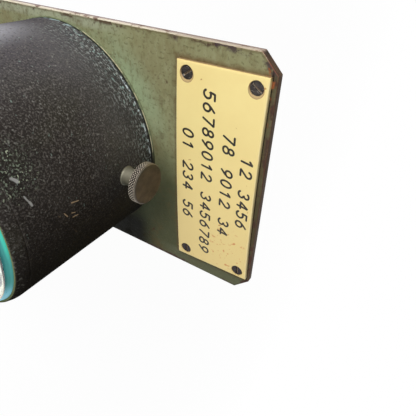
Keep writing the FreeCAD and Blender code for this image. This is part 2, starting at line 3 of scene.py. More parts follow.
import bmesh
import bpy
import numpy as np
from mathutils import Matrix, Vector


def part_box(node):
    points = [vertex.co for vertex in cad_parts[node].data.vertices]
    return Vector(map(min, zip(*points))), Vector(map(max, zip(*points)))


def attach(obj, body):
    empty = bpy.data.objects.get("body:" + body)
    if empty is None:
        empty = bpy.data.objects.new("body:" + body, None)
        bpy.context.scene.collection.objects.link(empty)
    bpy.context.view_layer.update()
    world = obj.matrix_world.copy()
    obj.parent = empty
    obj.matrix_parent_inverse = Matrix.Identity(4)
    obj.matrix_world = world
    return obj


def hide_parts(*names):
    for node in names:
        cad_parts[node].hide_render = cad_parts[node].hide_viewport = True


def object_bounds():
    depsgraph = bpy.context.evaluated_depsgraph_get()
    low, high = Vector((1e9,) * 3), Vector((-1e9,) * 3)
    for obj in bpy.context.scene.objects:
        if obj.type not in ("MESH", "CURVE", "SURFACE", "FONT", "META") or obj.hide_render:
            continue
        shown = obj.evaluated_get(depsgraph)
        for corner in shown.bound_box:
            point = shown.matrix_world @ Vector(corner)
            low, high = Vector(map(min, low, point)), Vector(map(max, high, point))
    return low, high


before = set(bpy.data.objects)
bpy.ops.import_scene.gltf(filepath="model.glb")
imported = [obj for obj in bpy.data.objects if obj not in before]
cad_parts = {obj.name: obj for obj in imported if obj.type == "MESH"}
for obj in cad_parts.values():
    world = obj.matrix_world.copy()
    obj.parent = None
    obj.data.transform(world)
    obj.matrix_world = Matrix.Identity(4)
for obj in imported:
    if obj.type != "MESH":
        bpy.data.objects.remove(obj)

cad_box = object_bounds()
MM = 0.001

# Studio: the camera has the photograph's angle, with the indicator's top to the right. The floor
# is white paper under the plate's lower edge, and soft daylight comes from the dial's left.
case_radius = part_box("case_drum")[1].z
plate_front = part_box("base_casting")[1].y

camera_across = np.array((-0.04446, 0.52758, 0.84834))
camera_down = np.array((0.80565, -0.48319, 0.34272))
camera_ahead = np.array((0.59073, 0.69870, -0.40356))
camera_place = np.array((-1.69329, -2.34804, 2.93322)) * case_radius + (0, plate_front, 0)

lens = bpy.data.cameras.new("camera")
lens.lens = 33.60
lens.sensor_width = 36.0
lens.clip_start = 0.01
camera = bpy.data.objects.new("camera", lens)
turned = Matrix(np.column_stack((camera_across, -camera_down, -camera_ahead)).tolist()).to_4x4()
turned.translation = camera_place
camera.matrix_world = turned
bpy.context.scene.collection.objects.link(camera)
bpy.context.scene.camera = camera
bpy.context.scene.view_settings.view_transform = "Standard"


def lamp(name, place, aim, size, power):
    """A square soft light at a place, turned to face its aim."""
    light = bpy.data.lights.new(name, "AREA")
    light.size = size
    light.energy = power
    holder = bpy.data.objects.new(name, light)
    ahead = np.array(aim, float) - np.array(place, float)
    ahead /= np.linalg.norm(ahead)
    side = np.cross(ahead, (0.0, 0.0, 1.0))
    side /= np.linalg.norm(side)
    pose = Matrix(np.column_stack((side, np.cross(side, ahead), -ahead)).tolist()).to_4x4()
    pose.translation = place
    holder.matrix_world = pose
    bpy.context.scene.collection.objects.link(holder)


lamp("window", (-0.62, -0.40, 0.16), (0, 0, 0.03), 0.32, 4.8)
lamp("front_sheet", (-0.30, -0.95, 0.30), (0, 0, 0.03), 0.7, 2.6)


def tree_of(*values):
    """The node tree that holds the first socket among the values."""
    return next(value.id_data for value in values if isinstance(value, bpy.types.NodeSocket))


def put(kind, settings=(), tree=None, **inputs):
    """A new shader node with its settings, and each input given a value or another node's output.
    An input is named with _ for each space, or n and its number where it has no name of its own.
    It goes in its inputs' tree, or where no input is another node's output, in the tree given."""
    tree = tree or tree_of(*inputs.values())
    node = tree.nodes.new("ShaderNode" + kind)
    for name, value in dict(settings).items():
        setattr(node, name, value)
    for name, value in inputs.items():
        numbered = name[0] == "n" and name[1:].isdigit()
        socket = node.inputs[int(name[1:]) if numbered else name.replace("_", " ")]
        if isinstance(value, bpy.types.NodeSocket):
            tree.links.new(value, socket)
        else:
            socket.default_value = value
    return node


def maths(operation, first, second=0.0, clamp=False):
    """One step of arithmetic between two values."""
    settings = {"operation": operation, "use_clamp": clamp}
    return put("Math", settings, n0=first, n1=second).outputs[0]


def times(*values):
    """The product of masks and values."""
    product = values[0]
    for value in values[1:]:
        product = maths("MULTIPLY", product, value)
    return product


def spread(value, to_low, to_high, low=0.0, high=1.0):
    """The value's run from low to high, laid out evenly between two others and held at its ends."""
    ends = {"From_Min": low, "From_Max": high, "To_Min": to_low, "To_Max": to_high}
    return put("MapRange", Value=value, **ends).outputs["Result"]


def seen_directly(tree):
    """1 where the camera sees the surface itself, in a mirror or through glass, and 0 for light."""
    rays = put("LightPath", tree=tree).outputs
    seen = maths("MAXIMUM", rays["Is Camera Ray"], rays["Is Glossy Ray"])
    return maths("MAXIMUM", seen, rays["Is Transmission Ray"])


sky = bpy.data.worlds.new("sky")
sky.use_nodes = True
bpy.context.scene.world = sky
backdrop = sky.node_tree.nodes["Background"]
backdrop.inputs["Color"].default_value = (1, 1, 1, 1)
sky_level = spread(seen_directly(sky.node_tree), 0.15, 1.0)
sky.node_tree.links.new(sky_level, backdrop.inputs["Strength"])

floor_half = 4.0
floor_level = cad_box[0][2] - 0.0004
floor_mesh = bpy.data.meshes.new("floor")
floor_mesh.from_pydata(
    [(x * floor_half, y * floor_half, floor_level) for x, y in ((-1, -1), (1, -1), (1, 1), (-1, 1))],
    [], [(0, 1, 2, 3)],
)
floor = bpy.data.objects.new("floor", floor_mesh)
bpy.context.scene.collection.objects.link(floor)
paper = bpy.data.materials.new("floor_paper")
paper.use_nodes = True
paper_tree = paper.node_tree
paper_shader = paper_tree.nodes["Principled BSDF"]
paper_shader.inputs["Base Color"].default_value = (0.9, 0.9, 0.9, 1)
paper_shader.inputs["Roughness"].default_value = 0.9
paper_place = put("TexCoord", tree=paper_tree).outputs["Object"]
far = put("VectorMath", {"operation": "LENGTH"}, n0=paper_place).outputs["Value"]
near_end, far_end = 0.3, 1.4
paper_white = put("Emission", Strength=spread(far, 1.08, 1.0, near_end, far_end))
paper_share = times(seen_directly(paper_tree), spread(far, 0.88, 1.0, near_end, far_end))
paper_mix = put(
    "MixShader", n0=paper_share, n1=paper_shader.outputs[0], n2=paper_white.outputs[0]
)
paper_tree.links.new(paper_mix.outputs[0], paper_tree.nodes["Material Output"].inputs["Surface"])
floor_mesh.materials.append(paper)

# Shader steps: the colours, masks and patterns that every finish below is built from.


def linear(red, green, blue):
    """A screen colour, 0 to 255, as the light value that shaders take."""
    shares = np.array((red, green, blue)) / 255.0
    light = np.where(shares <= 0.04045, shares / 12.92, ((shares + 0.055) / 1.055) ** 2.4)
    return (*light.tolist(), 1.0)


def plus(first, second):
    """The sum of two values."""
    return maths("ADD", first, second)


def minus(first, second):
    """The first value less the second."""
    return maths("SUBTRACT", first, second)


def apart(first, second):
    """How far apart two values are."""
    return maths("ABSOLUTE", minus(first, second))


def length_of(across, up):
    """The length of the slope whose legs are two values."""
    return maths("SQRT", plus(times(across, across), times(up, up)))


def rise(value, low, high):
    """0 below low, 1 above high, and a smooth step between. It falls where low is above high."""
    up = low < high
    step = put(
        "MapRange", {"interpolation_type": "SMOOTHSTEP"},
        Value=value, From_Min=min(low, high), From_Max=max(low, high),
        To_Min=0.0 if up else 1.0, To_Max=1.0 if up else 0.0,
    )
    return step.outputs["Result"]


def rise_mm(value, low, high):
    """The same smooth step for a length, with its two ends in millimetres."""
    return rise(value, low * MM, high * MM)


def cover_with(mask, under, over):
    """The colour under, covered with the colour over where the mask is 1."""
    return put("Mix", {"data_type": "RGBA"}, n0=mask, n6=under, n7=over).outputs[2]


def layer(under, over, *masks):
    """The colour under, covered with a colour from 0 to 255 as far as the masks' product says."""
    return cover_with(times(*masks), under, linear(*over))


def cloud(vector, scale, detail=3.0, roughness=0.55):
    """Soft random values from 0 to 1, in lumps of about a metre divided by the scale."""
    inputs = {"Vector": vector, "Scale": scale, "Detail": detail, "Roughness": roughness}
    return put("TexNoise", **inputs).outputs[0]


def stretched(vector, x, y, z):
    """Coordinates multiplied along each axis, so that a pattern on them shrinks that way."""
    settings = {"operation": "MULTIPLY"}
    return put("VectorMath", settings, n0=vector, n1=(x, y, z)).outputs[0]


def axes(here):
    """The x, y and z of a point as three values."""
    return tuple(put("SeparateXYZ", Vector=here).outputs)


def new_group(name, inputs, outputs):
    """An empty node group with its named inputs and outputs."""
    group = bpy.data.node_groups.new(name, "ShaderNodeTree")
    for socket, kind, value in inputs:
        made = group.interface.new_socket(socket, in_out="INPUT", socket_type="NodeSocket" + kind)
        if value is not None:
            made.default_value = value
    for socket, kind in outputs:
        group.interface.new_socket(socket, in_out="OUTPUT", socket_type="NodeSocket" + kind)
    return group, group.nodes.new("NodeGroupInput").outputs, group.nodes.new("NodeGroupOutput").inputs


# Specks: small separate spots where a fine random pattern is highest.
specks, given, wanted = new_group(
    "specks",
    [("Vector", "Vector", None), ("Scale", "Float", 500.0), ("Level", "Float", 0.65),
     ("Softness", "Float", 0.05)],
    [("Mask", "Float")],
)
speck_cloud = put("TexNoise", Vector=given["Vector"], Scale=given["Scale"], Detail=1.5)
speck_top = plus(given["Level"], given["Softness"])
speck_step = put(
    "MapRange", {"interpolation_type": "SMOOTHSTEP"},
    Value=speck_cloud.outputs[0], From_Min=given["Level"], From_Max=speck_top,
)
specks.links.new(speck_step.outputs["Result"], wanted["Mask"])

# Mottle: one colour drifting into another in large soft patches broken by small ones.
mottle, given, wanted = new_group(
    "mottle",
    [("Vector", "Vector", None), ("Scale", "Float", 40.0), ("Low", "Color", None),
     ("High", "Color", None), ("Contrast", "Float", 2.0)],
    [("Color", "Color")],
)
mottle_cloud = put(
    "TexNoise", Vector=given["Vector"], Scale=given["Scale"], Detail=6.0, Roughness=0.62
)
mottle_mid = minus(mottle_cloud.outputs[0], 0.5)
mottle_wide = times(mottle_mid, given["Contrast"])
mottle_mask = maths("ADD", mottle_wide, 0.5, clamp=True)
mottle.links.new(cover_with(mottle_mask, given["Low"], given["High"]), wanted["Color"])


def grouped(group, **inputs):
    """The output of a node group placed in a material with its own values."""
    tree = tree_of(*inputs.values())
    node = tree.nodes.new("ShaderNodeGroup")
    node.node_tree = group
    for name, value in inputs.items():
        if isinstance(value, bpy.types.NodeSocket):
            tree.links.new(value, node.inputs[name])
        else:
            node.inputs[name].default_value = value
    return node.outputs[0]


def mottled(here, scale, contrast, low, high):
    """A colour that drifts in patches between two colours from 0 to 255."""
    ends = {"Low": linear(*low), "High": linear(*high)}
    return grouped(mottle, Vector=here, Scale=scale, Contrast=contrast, **ends)


def speckled(here, scale, level, softness):
    """1 in small separate spots and 0 between. A higher level leaves fewer of them."""
    return grouped(specks, Vector=here, Scale=scale, Level=level, Softness=softness)


def feed(shader, name, value):
    """Gives one of the shader's inputs a number or a colour, or links another node's output to it."""
    if isinstance(value, bpy.types.NodeSocket):
        shader.id_data.links.new(value, shader.inputs[name])
    else:
        shader.inputs[name].default_value = value


def new_finish(name, roughness=0.5, metallic=0.0):
    """A material with its shader and the piece's own coordinates."""
    material = bpy.data.materials.new(name)
    material.use_nodes = True
    tree = material.node_tree
    shader = tree.nodes["Principled BSDF"]
    feed(shader, "Roughness", roughness)
    feed(shader, "Metallic", metallic)
    return material, shader, put("TexCoord", tree=tree).outputs["Object"]


def plain_finish(name, roughness, metallic, *pattern):
    """A material in two mottled colours, with its shader and the piece's own coordinates."""
    material, shader, here = new_finish(name, roughness, metallic)
    feed(shader, "Base Color", mottled(here, *pattern))
    return material, shader, here


def bump(shader, height, distance):
    """Feeds a height pattern, with its depth in metres, to the shader's normal."""
    node = put("Bump", Distance=distance, Height=height)
    feed(shader, "Normal", node.outputs["Normal"])


def dress(material, *nodes):
    """Gives carried-over nodes their finish."""
    for node in nodes:
        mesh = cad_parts[node].data
        mesh.materials.clear()
        mesh.materials.append(material)


def inside_box(x, z, low, high, clip=0.0):
    """How far inside a rectangle's outline a point is, in metres, with the corners clipped."""
    across = apart(x, (low.x + high.x) / 2)
    up = apart(z, (low.z + high.z) / 2)
    side = minus((high.x - low.x) / 2, across)
    end = minus((high.z - low.z) / 2, up)
    inside = maths("MINIMUM", side, end)
    if clip:
        corner = minus(plus(side, end), clip)
        inside = maths("MINIMUM", inside, times(corner, math.sqrt(0.5)))
    return inside


# Back plate: steel sheet with clipped corners, painted sage green. The paint is stained and darker
# towards the right, partly grime and partly painted shade, and worn to primer and rust along the cut
# edges. A painted shadow of the case and a painted highlight by the -X edge lie on its face.
plate_low, plate_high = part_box("back_plate")
label_low, label_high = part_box("label_plate")
plate_clip = 6.35 * MM

paint, shader, here = new_finish("sage_paint")
x, y, z = axes(here)
colour = mottled(here, 70.0, 2.2, (124, 117, 84), (141, 143, 107))
bluish = rise(cloud(here, 30.0, 3.0), 0.36, 0.6)
around_case = length_of(x, z)
near_case = rise_mm(around_case, 62, 49)
colour = layer(colour, (146, 162, 128), bluish, near_case, 0.85)
# Painted highlight: paler paint by the -X edge, where the light falls.
edge_highlight = times(rise_mm(x, -46, -48), rise_mm(z, 42, 16))
colour = layer(colour, (162, 168, 146), edge_highlight, 0.6)
brushed = cloud(stretched(here, 0.5, 1.0, 1.0), 560.0, 4.0)
brush_dark = rise(brushed, 0.5, 0.74)
colour = layer(colour, (108, 102, 70), brush_dark, 0.52)
brush_pale = rise(brushed, 0.5, 0.28)
colour = layer(colour, (156, 160, 128), brush_pale, 0.25)
# Darker towards +X: partly grime, partly painted shade where less light falls.
shade_line = plus(x, times(minus(cloud(here, 45.0, 4.0), 0.5), 30 * MM))
dull_and_shade = rise_mm(shade_line, -18, 17)
colour = layer(colour, (66, 70, 49), dull_and_shade, 0.86)
stain = rise(cloud(here, 120.0, 5.0, 0.7), 0.52, 0.72)
colour = layer(colour, (98, 84, 58), stain, 0.6)
rust_patch = rise(cloud(here, 170.0, 3.0, 0.6), 0.66, 0.74)
colour = layer(colour, (78, 56, 44), rust_patch, 0.75)
pit = speckled(here, 900.0, 0.56, 0.1)
colour = layer(colour, (88, 82, 54), pit, 0.36)
low_strip = times(rise_mm(x, 42.5, 45), rise_mm(z, 46, 60))
colour = layer(colour, (104, 106, 84), low_strip, 0.55)
on_front = rise_mm(y, -2.4, -3.0)
# Painted shadow: near-black paint on the plate's +X side beside the case, where the case shades it.
case_shadow = times(on_front, rise_mm(x, 26, 40), rise_mm(z, 48, 36), rise_mm(z, -30, 0))
colour = layer(colour, (12, 12, 8), case_shadow, 0.97)

ragged = times(minus(cloud(here, 260.0, 6.0, 0.7), 0.5), 3.0 * MM)
label_slope = 0.011
label_curve = 0.368
edge_place = plus(times(x, label_slope), times(x, x, label_curve))
askew = plus(minus(z, edge_place), 0.3 * MM)
off_label = times(inside_box(x, askew, label_low, label_high), -1.0)
label_dirt = times(on_front, rise_mm(plus(off_label, ragged), 2.2, 0.1))
colour = layer(colour, (98, 78, 52), label_dirt, 0.75)
beyond_label = times(on_front, rise(askew, label_high.z - 0.2 * MM, label_high.z + 0.1 * MM))
colour = layer(colour, (70, 62, 46), beyond_label, 0.7)
low_end = times(beyond_label, rise_mm(x, 18, 40))
colour = layer(colour, (100, 96, 80), low_end, 0.5)
label_shadow = times(beyond_label, rise(askew, label_high.z + 0.9 * MM, label_high.z + 0.5 * MM))
colour = layer(colour, (22, 16, 12), label_shadow, 0.9)

inside = inside_box(x, z, plate_low, plate_high, plate_clip)
worn_depth = plus(inside, times(ragged, 0.3))
left_edge = rise_mm(x, -42, -47)
right_end = rise_mm(z, 91, 94)
chips = rise(cloud(here, 150.0, 4.0), 0.5, 0.58)
chipped = times(rise_mm(plus(inside, ragged), 2.0, 1.0), chips)
colour = layer(colour, (72, 52, 46), chipped, 0.9)
paint_edge = times(rise_mm(worn_depth, 1.3, 0.9), left_edge)
colour = layer(colour, (96, 82, 58), paint_edge, 0.45)
upper_left = times(left_edge, rise_mm(z, 50, 66))
purple = times(
    upper_left, rise_mm(plus(inside, times(ragged, 1.4)), 2.6, 1.2),
    rise(cloud(here, 190.0, 4.0), 0.46, 0.54),
)
colour = layer(colour, (68, 54, 58), purple, 0.85)
bare = mottled(here, 260.0, 3.0, (182, 168, 146), (226, 220, 198))
rust = rise(cloud(here, 170.0, 5.0, 0.7), 0.54, 0.62)
bare = layer(bare, (98, 64, 56), rust, 0.9)
bare = layer(bare, (150, 128, 104), rise_mm(z, 40, 72), 0.55)
worn = rise_mm(worn_depth, 0.5, 0.28)
worn_share = plus(0.3, times(left_edge, 0.7))
worn_share = times(worn_share, rise_mm(x, 49.0, 46))
bare = layer(bare, (112, 72, 60), right_end)
colour = cover_with(times(worn, worn_share), colour, bare)
end_rust = times(
    rise_mm(inside, 5.5, 4), right_end, rise_mm(x, -24, -38),
    rise(cloud(here, 300.0, 4.0), 0.5, 0.6), rise_mm(inside, 0.7, 1.4),
)
colour = layer(colour, (150, 88, 52), end_rust, 0.85)
cut = mottled(stretched(here, 1, 3, 1), 160.0, 3.5, (44, 36, 30), (86, 76, 56))
cut = layer(cut, (104, 62, 42), rust, 0.4)
cut = layer(cut, (104, 74, 54), right_end, 0.4)
pale_cut = mottled(stretched(here, 1, 4, 0.4), 420.0, 3.0, (196, 182, 164), (226, 218, 200))
pale_cut = layer(pale_cut, (160, 140, 136), rise_mm(plus(y, times(ragged, 0.4)), -2.1, -1.7))
pale_cut = layer(pale_cut, (116, 98, 92), rise_mm(y, -0.9, -0.6))
pale_cut = layer(pale_cut, (104, 74, 64), rust, 0.8)
pale_cut = layer(pale_cut, (126, 106, 88), rise_mm(z, 30, 70), 0.5)
on_side = times(rise_mm(x, -45.5, -50), rise_mm(z, 91.5, 90.8))
cut = cover_with(on_side, cut, pale_cut)
colour = cover_with(rise_mm(inside, 0.2, 0.05), colour, cut)
feed(shader, "Base Color", colour)
feed(shader, "Roughness", spread(stain, 0.5, 0.72))
feed(shader, "Specular IOR Level", 0.06)
relief = minus(cloud(here, 330.0, 5.0, 0.65), times(pit, 0.5))
relief = minus(relief, times(worn, 0.6))
bump(shader, relief, 0.12 * MM)
dress(paint, "back_plate")

# Label plate: ivory laminate, yellowed with age and paler where its edges are rubbed. It is
# engraved with four rows of plain numbers and held on the plate by four countersunk screws.
# Its pattern is laid out on the label while square, in the coordinates of its map "flat".
screw_inset = 4.0 * MM
screw_low_inset = 4.8 * MM
screw_head = 2.4 * MM

ivory, shader, here = new_finish("ivory_laminate", 0.36)
x, z = axes(put("UVMap", {"uv_map": "flat"}, tree=ivory.node_tree).outputs[0])[:2]
y = axes(here)[1]
here = put("CombineXYZ", X=x, Y=y, Z=z).outputs[0]
colour = mottled(here, 30.0, 1.8, (236, 212, 142), (246, 228, 158))
# Painted shade: the label darkens towards +X, where less light falls.
right_end = rise(x, label_low.x, label_high.x)
colour = layer(colour, (230, 205, 139), right_end, 0.8)
inside = inside_box(x, z, label_low, label_high)
ragged = times(minus(cloud(here, 300.0, 5.0, 0.7), 0.5), 1.4 * MM)
pale_edge = rise_mm(plus(inside, ragged), 0.6, 0.1)
near_side = rise(x, label_low.x + 2 * MM, label_low.x + 1 * MM)
pale_share = minus(0.3, times(near_side, 0.3))
colour = layer(colour, (250, 238, 196), pale_edge, pale_share)
shaded_round = rise(x, label_low.x + 0.32 * MM, label_low.x + 0.1 * MM)
colour = layer(colour, (196, 168, 112), shaded_round, 0.5)
rust_dust = speckled(here, 600.0, 0.59, 0.12)
dust_patch = times(
    rise_mm(x, 18, 24), rise_mm(x, 41.5, 39.5), rise_mm(z, 76, 80), rise_mm(z, 94.4, 92)
)
colour = layer(colour, (205, 130, 75), rust_dust, dust_patch, 0.85)
lone_dust = speckled(here, 330.0, 0.74, 0.03)
colour = layer(colour, (176, 122, 66), lone_dust, 0.8)
dirty_side = times(
    rise(x, label_low.x + 0.6 * MM, label_low.x + 0.3 * MM),
    rise(y, label_low.y + 0.3 * MM, label_low.y + 0.5 * MM),
)
colour = layer(colour, (128, 102, 72), dirty_side, 0.9)
off_screw = minus(maths("ABSOLUTE", x), label_high.x - screw_inset)
screw_rise = maths(
    "MINIMUM", apart(z, label_low.z + screw_low_inset), apart(z, label_high.z - screw_inset)
)
from_screw = length_of(off_screw, screw_rise)
rub = times(minus(cloud(here, 500.0, 4.0), 0.5), 0.9 * MM)
hole_dirt = rise(plus(from_screw, rub), screw_head + 0.6 * MM, screw_head + 0.1 * MM)
colour = layer(colour, (190, 154, 104), hole_dirt, 0.3)
aside = minus(off_screw, times(put("Math", {"operation": "SIGN"}, n0=x).outputs[0], 0.5 * MM))
from_aside = length_of(aside, screw_rise)
stained = times(rise_mm(plus(from_aside, times(rub, 0.5)), 2.95, 2.75), rise_mm(x, 0, -4))
colour = layer(colour, (150, 110, 80), stained, 0.8)
cleaner = rise_mm(plus(from_aside, times(rub, 0.5)), 2.66, 2.5)
colour = layer(colour, (205, 180, 130), cleaner, stained, 0.7)
hole_wall = rise(from_screw, screw_head + 0.13 * MM, screw_head + 0.05 * MM)
colour = layer(colour, (112, 94, 74), hole_wall)
feed(shader, "Base Color", colour)
feed(shader, "Specular IOR Level", 0.35)
bump(shader, cloud(here, 90.0, 3.0), 0.05 * MM)


def skin(name, grids, crease):
    """A mesh over one or more grids of points. Rows join to rows and columns to columns, and
    points that coincide are merged, so that poles and seams close."""
    points, quads, count = [], [], 0
    for grid in grids:
        rows, columns = grid.shape[:2]
        index = np.arange(rows * columns).reshape(rows, columns) + count
        faces = np.stack((index[:-1, :-1], index[:-1, 1:], index[1:, 1:], index[1:, :-1]), -1)
        quads.append(faces.reshape(-1, 4))
        points.append(grid.reshape(-1, 3))
        count += rows * columns
    mesh = bpy.data.meshes.new(name)
    mesh.from_pydata(np.concatenate(points).tolist(), [], np.concatenate(quads).tolist())
    shape = bmesh.new()
    shape.from_mesh(mesh)
    bmesh.ops.remove_doubles(shape, verts=shape.verts, dist=0.0005 * MM)
    bmesh.ops.dissolve_degenerate(shape, edges=shape.edges, dist=0.0002 * MM)
    bmesh.ops.recalc_face_normals(shape, faces=shape.faces)
    shape.to_mesh(mesh)
    shape.free()
    mesh.polygons.foreach_set("use_smooth", np.ones(len(mesh.polygons), bool))
    mesh.set_sharp_from_angle(angle=math.radians(crease))
    return mesh


def place_piece(name, mesh, body, material, slot, *nodes):
    """Puts a finished mesh in the scene, on its body, with its finish, for the nodes it replaces."""
    piece = bpy.data.objects.new(name, mesh)
    bpy.context.scene.collection.objects.link(piece)
    mesh.materials.append(material)
    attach(piece, body)
    if nodes:
        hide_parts(*nodes)


def add_piece(name, grids, crease, body, material, slot, *nodes):
    """Joins grids in a mesh, sharp where faces meet at more than crease degrees, and places it."""
    place_piece(name, skin(name, grids, crease), body, material, slot, *nodes)


label_turn = math.radians(0.63)


def as_laid(points):
    """Where points of a square label lie on the plate. It was screwed on askew: it turns by 0.63
    degrees about its middle and moves by 0.3 mm. Its long edges were filed to shallow curves, whose
    middles lie 0.8 and 0.7 mm lower than their ends."""
    points = np.asarray(points, float)
    x, z = points[..., 0] / MM, points[..., 2] / MM
    middle = (label_low.z + label_high.z) / 2 / MM
    up = (z - label_low.z / MM) / ((label_high.z - label_low.z) / MM)
    half_width, rub_depth = 43.6, 2.2
    curve = (x / half_width) ** 2
    filed_low = 0.8 * curve * np.clip((label_low.z / MM + rub_depth - z) / rub_depth, 0, 1)
    filed_end = (0.3 + 0.7 * up) * np.clip((x - 42.1) / 1.5, 0, 1)
    filed_high = (0.7 * curve - 0.3) * np.clip((z - label_high.z / MM + rub_depth) / rub_depth, 0, 1)
    x, z = x - filed_end, z + filed_low + filed_high - middle
    laid = points.copy()
    laid[..., 0] = (x * math.cos(label_turn) - z * math.sin(label_turn) - 0.12) * MM
    laid[..., 2] = (x * math.sin(label_turn) + z * math.cos(label_turn) + middle + 0.3) * MM
    return laid


label_screw_places = [
    (side * (label_high.x - screw_inset), level)
    for side in (-1, 1) for level in (label_low.z + screw_low_inset, label_high.z - screw_inset)
]


def lines_near(low, high, places, reach, fine, coarse):
    """Grid lines from low to high, close together within reach of the places and at both ends."""
    lines = [np.linspace(low, high, coarse)]
    for place in places:
        lines.append(np.linspace(place - reach, place + reach, fine))
    lines.append(low + np.array((0.06, 0.14, 0.24, 0.36)) * MM)
    lines.append(high - np.array((0.06, 0.14, 0.24, 0.36)) * MM)
    lines = np.unique(np.concatenate(lines))
    return lines[np.concatenate(([True], np.diff(lines) > 0.01 * MM))]


sheet_x = lines_near(
    label_low.x, label_high.x, (label_screw_places[0][0], label_screw_places[2][0]), 2.7 * MM, 52, 24
)
sheet_z = lines_near(
    label_low.z, label_high.z, (label_screw_places[0][1], label_screw_places[1][1]), 2.7 * MM, 52, 12
)
sheet_x[-1], sheet_z[-1] = label_high.x, label_high.z
flat_x, flat_z = np.meshgrid(sheet_x, sheet_z, indexing="ij")
to_edge = np.minimum(
    np.minimum(flat_x - label_low.x, label_high.x - flat_x),
    np.minimum(flat_z - label_low.z, label_high.z - flat_z),
)
edge_round = 0.35 * MM
fall = edge_round - np.sqrt(edge_round ** 2 - np.clip(edge_round - to_edge, 0, edge_round) ** 2)
well = np.zeros_like(flat_x)
for place_x, place_z in label_screw_places:
    off = np.hypot(flat_x - place_x, flat_z - place_z)
    well = np.maximum(well, 0.95 * MM * np.clip((screw_head + 0.14 * MM - off) / (0.1 * MM), 0, 1))
sheet_front = np.stack((flat_x, label_low.y + fall + well, flat_z), -1)
sheet_back = np.stack((flat_x, np.full_like(flat_x, label_high.y), flat_z), -1)
sheet_sides = [np.stack((sheet_front[end], sheet_back[end])) for end in (0, -1)]
sheet_sides += [np.stack((sheet_front[:, end], sheet_back[:, end])) for end in (0, -1)]
sheet = skin("label_sheet", [sheet_front, sheet_back, *sheet_sides], 35.0)
square = np.array([vertex.co for vertex in sheet.vertices])
corner_of = np.array([loop.vertex_index for loop in sheet.loops])
flat = sheet.uv_layers.new(name="flat")
flat.data.foreach_set("uv", square[corner_of][:, (0, 2)].astype(np.float32).ravel())
sheet.vertices.foreach_set("co", as_laid(square).astype(np.float32).ravel())
sheet.update()
place_piece("label_sheet", sheet, "base", ivory, "label_ivory", "label_plate")

# Engraved numbers: cut into the label with a rotary cutter and filled with black wax, which has
# worn grey in places.


def tube(path, across, thick, sides=8):
    """A closed bead along a path of (x, y, z) points that lies in a plane of constant y. Its
    section is an ellipse, and its ends shrink to a point over half the bead's width."""
    path = np.asarray(path, float)
    ahead = np.gradient(path, axis=0)
    ahead /= np.linalg.norm(ahead, axis=1, keepdims=True)
    side = np.stack((-ahead[:, 2], np.zeros(len(path)), ahead[:, 0]), -1)
    turn = np.linspace(0, 2 * math.pi, sides + 1)
    back = np.array((1.0, 0.7))[:, None] * across / 2
    line = np.concatenate((path[0] - ahead[0] * back, path, path[-1] + ahead[-1] * back[::-1]))
    sides_along = np.concatenate((np.repeat(side[:1], 2, 0), side, np.repeat(side[-1:], 2, 0)))
    width = np.concatenate(((0.0, 0.7), np.ones(len(path)), (0.7, 0.0)))
    out = width[:, None, None] * (
        np.cos(turn)[None, :, None] * sides_along[:, None, :] * across / 2
        + np.sin(turn)[None, :, None] * np.array((0.0, thick / 2, 0.0))
    )
    return line[:, None, :] + out


def bow(cx, cy, rx, ry, start, end, steps=14):
    """Points on an ellipse's arc, anticlockwise in degrees from the right."""
    angle = np.radians(np.linspace(start, end, steps))
    return list(zip(cx + rx * np.cos(angle), cy + ry * np.sin(angle)))


digit_strokes = {
    "0": [bow(0.32, 0.5, 0.3, 0.5, 90, 450, 30)],
    "1": [[(0.14, 0.76), (0.38, 1.0), (0.38, 0.0)]],
    "2": [bow(0.32, 0.72, 0.28, 0.28, 165, -40) + [(0.04, 0.0), (0.64, 0.0)]],
    "3": [bow(0.3, 0.76, 0.26, 0.24, 150, -90) + bow(0.3, 0.26, 0.31, 0.26, 90, -150)],
    "4": [[(0.48, 0.0), (0.48, 1.0), (0.02, 0.3), (0.68, 0.3)]],
    "5": [[(0.6, 1.0), (0.12, 1.0), (0.08, 0.54)] + bow(0.3, 0.32, 0.32, 0.32, 120, -150)],
    "6": [[(0.5, 1.0), (0.2, 0.68)] + bow(0.32, 0.31, 0.3, 0.31, 150, 510, 24)],
    "7": [[(0.04, 1.0), (0.64, 1.0), (0.24, 0.0)]],
    "8": [bow(0.32, 0.76, 0.24, 0.24, -90, 270, 22), bow(0.32, 0.26, 0.3, 0.26, 90, 450, 22)],
    "9": [bow(0.32, 0.69, 0.3, 0.31, -30, 330, 24) + [(0.44, 0.32), (0.14, 0.0)]],
}


def number_beads(text, middle, low, height, pitch, slant, y, across, thick):
    """Beads for a row of digits, centred at middle and standing on low, in the plane at y."""
    grids = []
    start = middle - pitch * (len(text) - 1) / 2 - 0.34 * height
    for place, digit in enumerate(text):
        for stroke in digit_strokes.get(digit, []):
            flat = np.array(stroke)
            steps = np.linalg.norm(np.diff(flat, axis=0), axis=1)
            length = np.concatenate(([0.0], np.cumsum(steps)))
            even = np.unique(np.concatenate((np.linspace(0, length[-1], 26), length)))
            u = np.interp(even, length, flat[:, 0])
            v = np.interp(even, length, flat[:, 1])
            across_row = start + place * pitch + height * (u + slant * v)
            path = np.stack((across_row, np.full(len(u), y), low + height * v), -1)
            grids.append(tube(path, across, thick))
    return grids


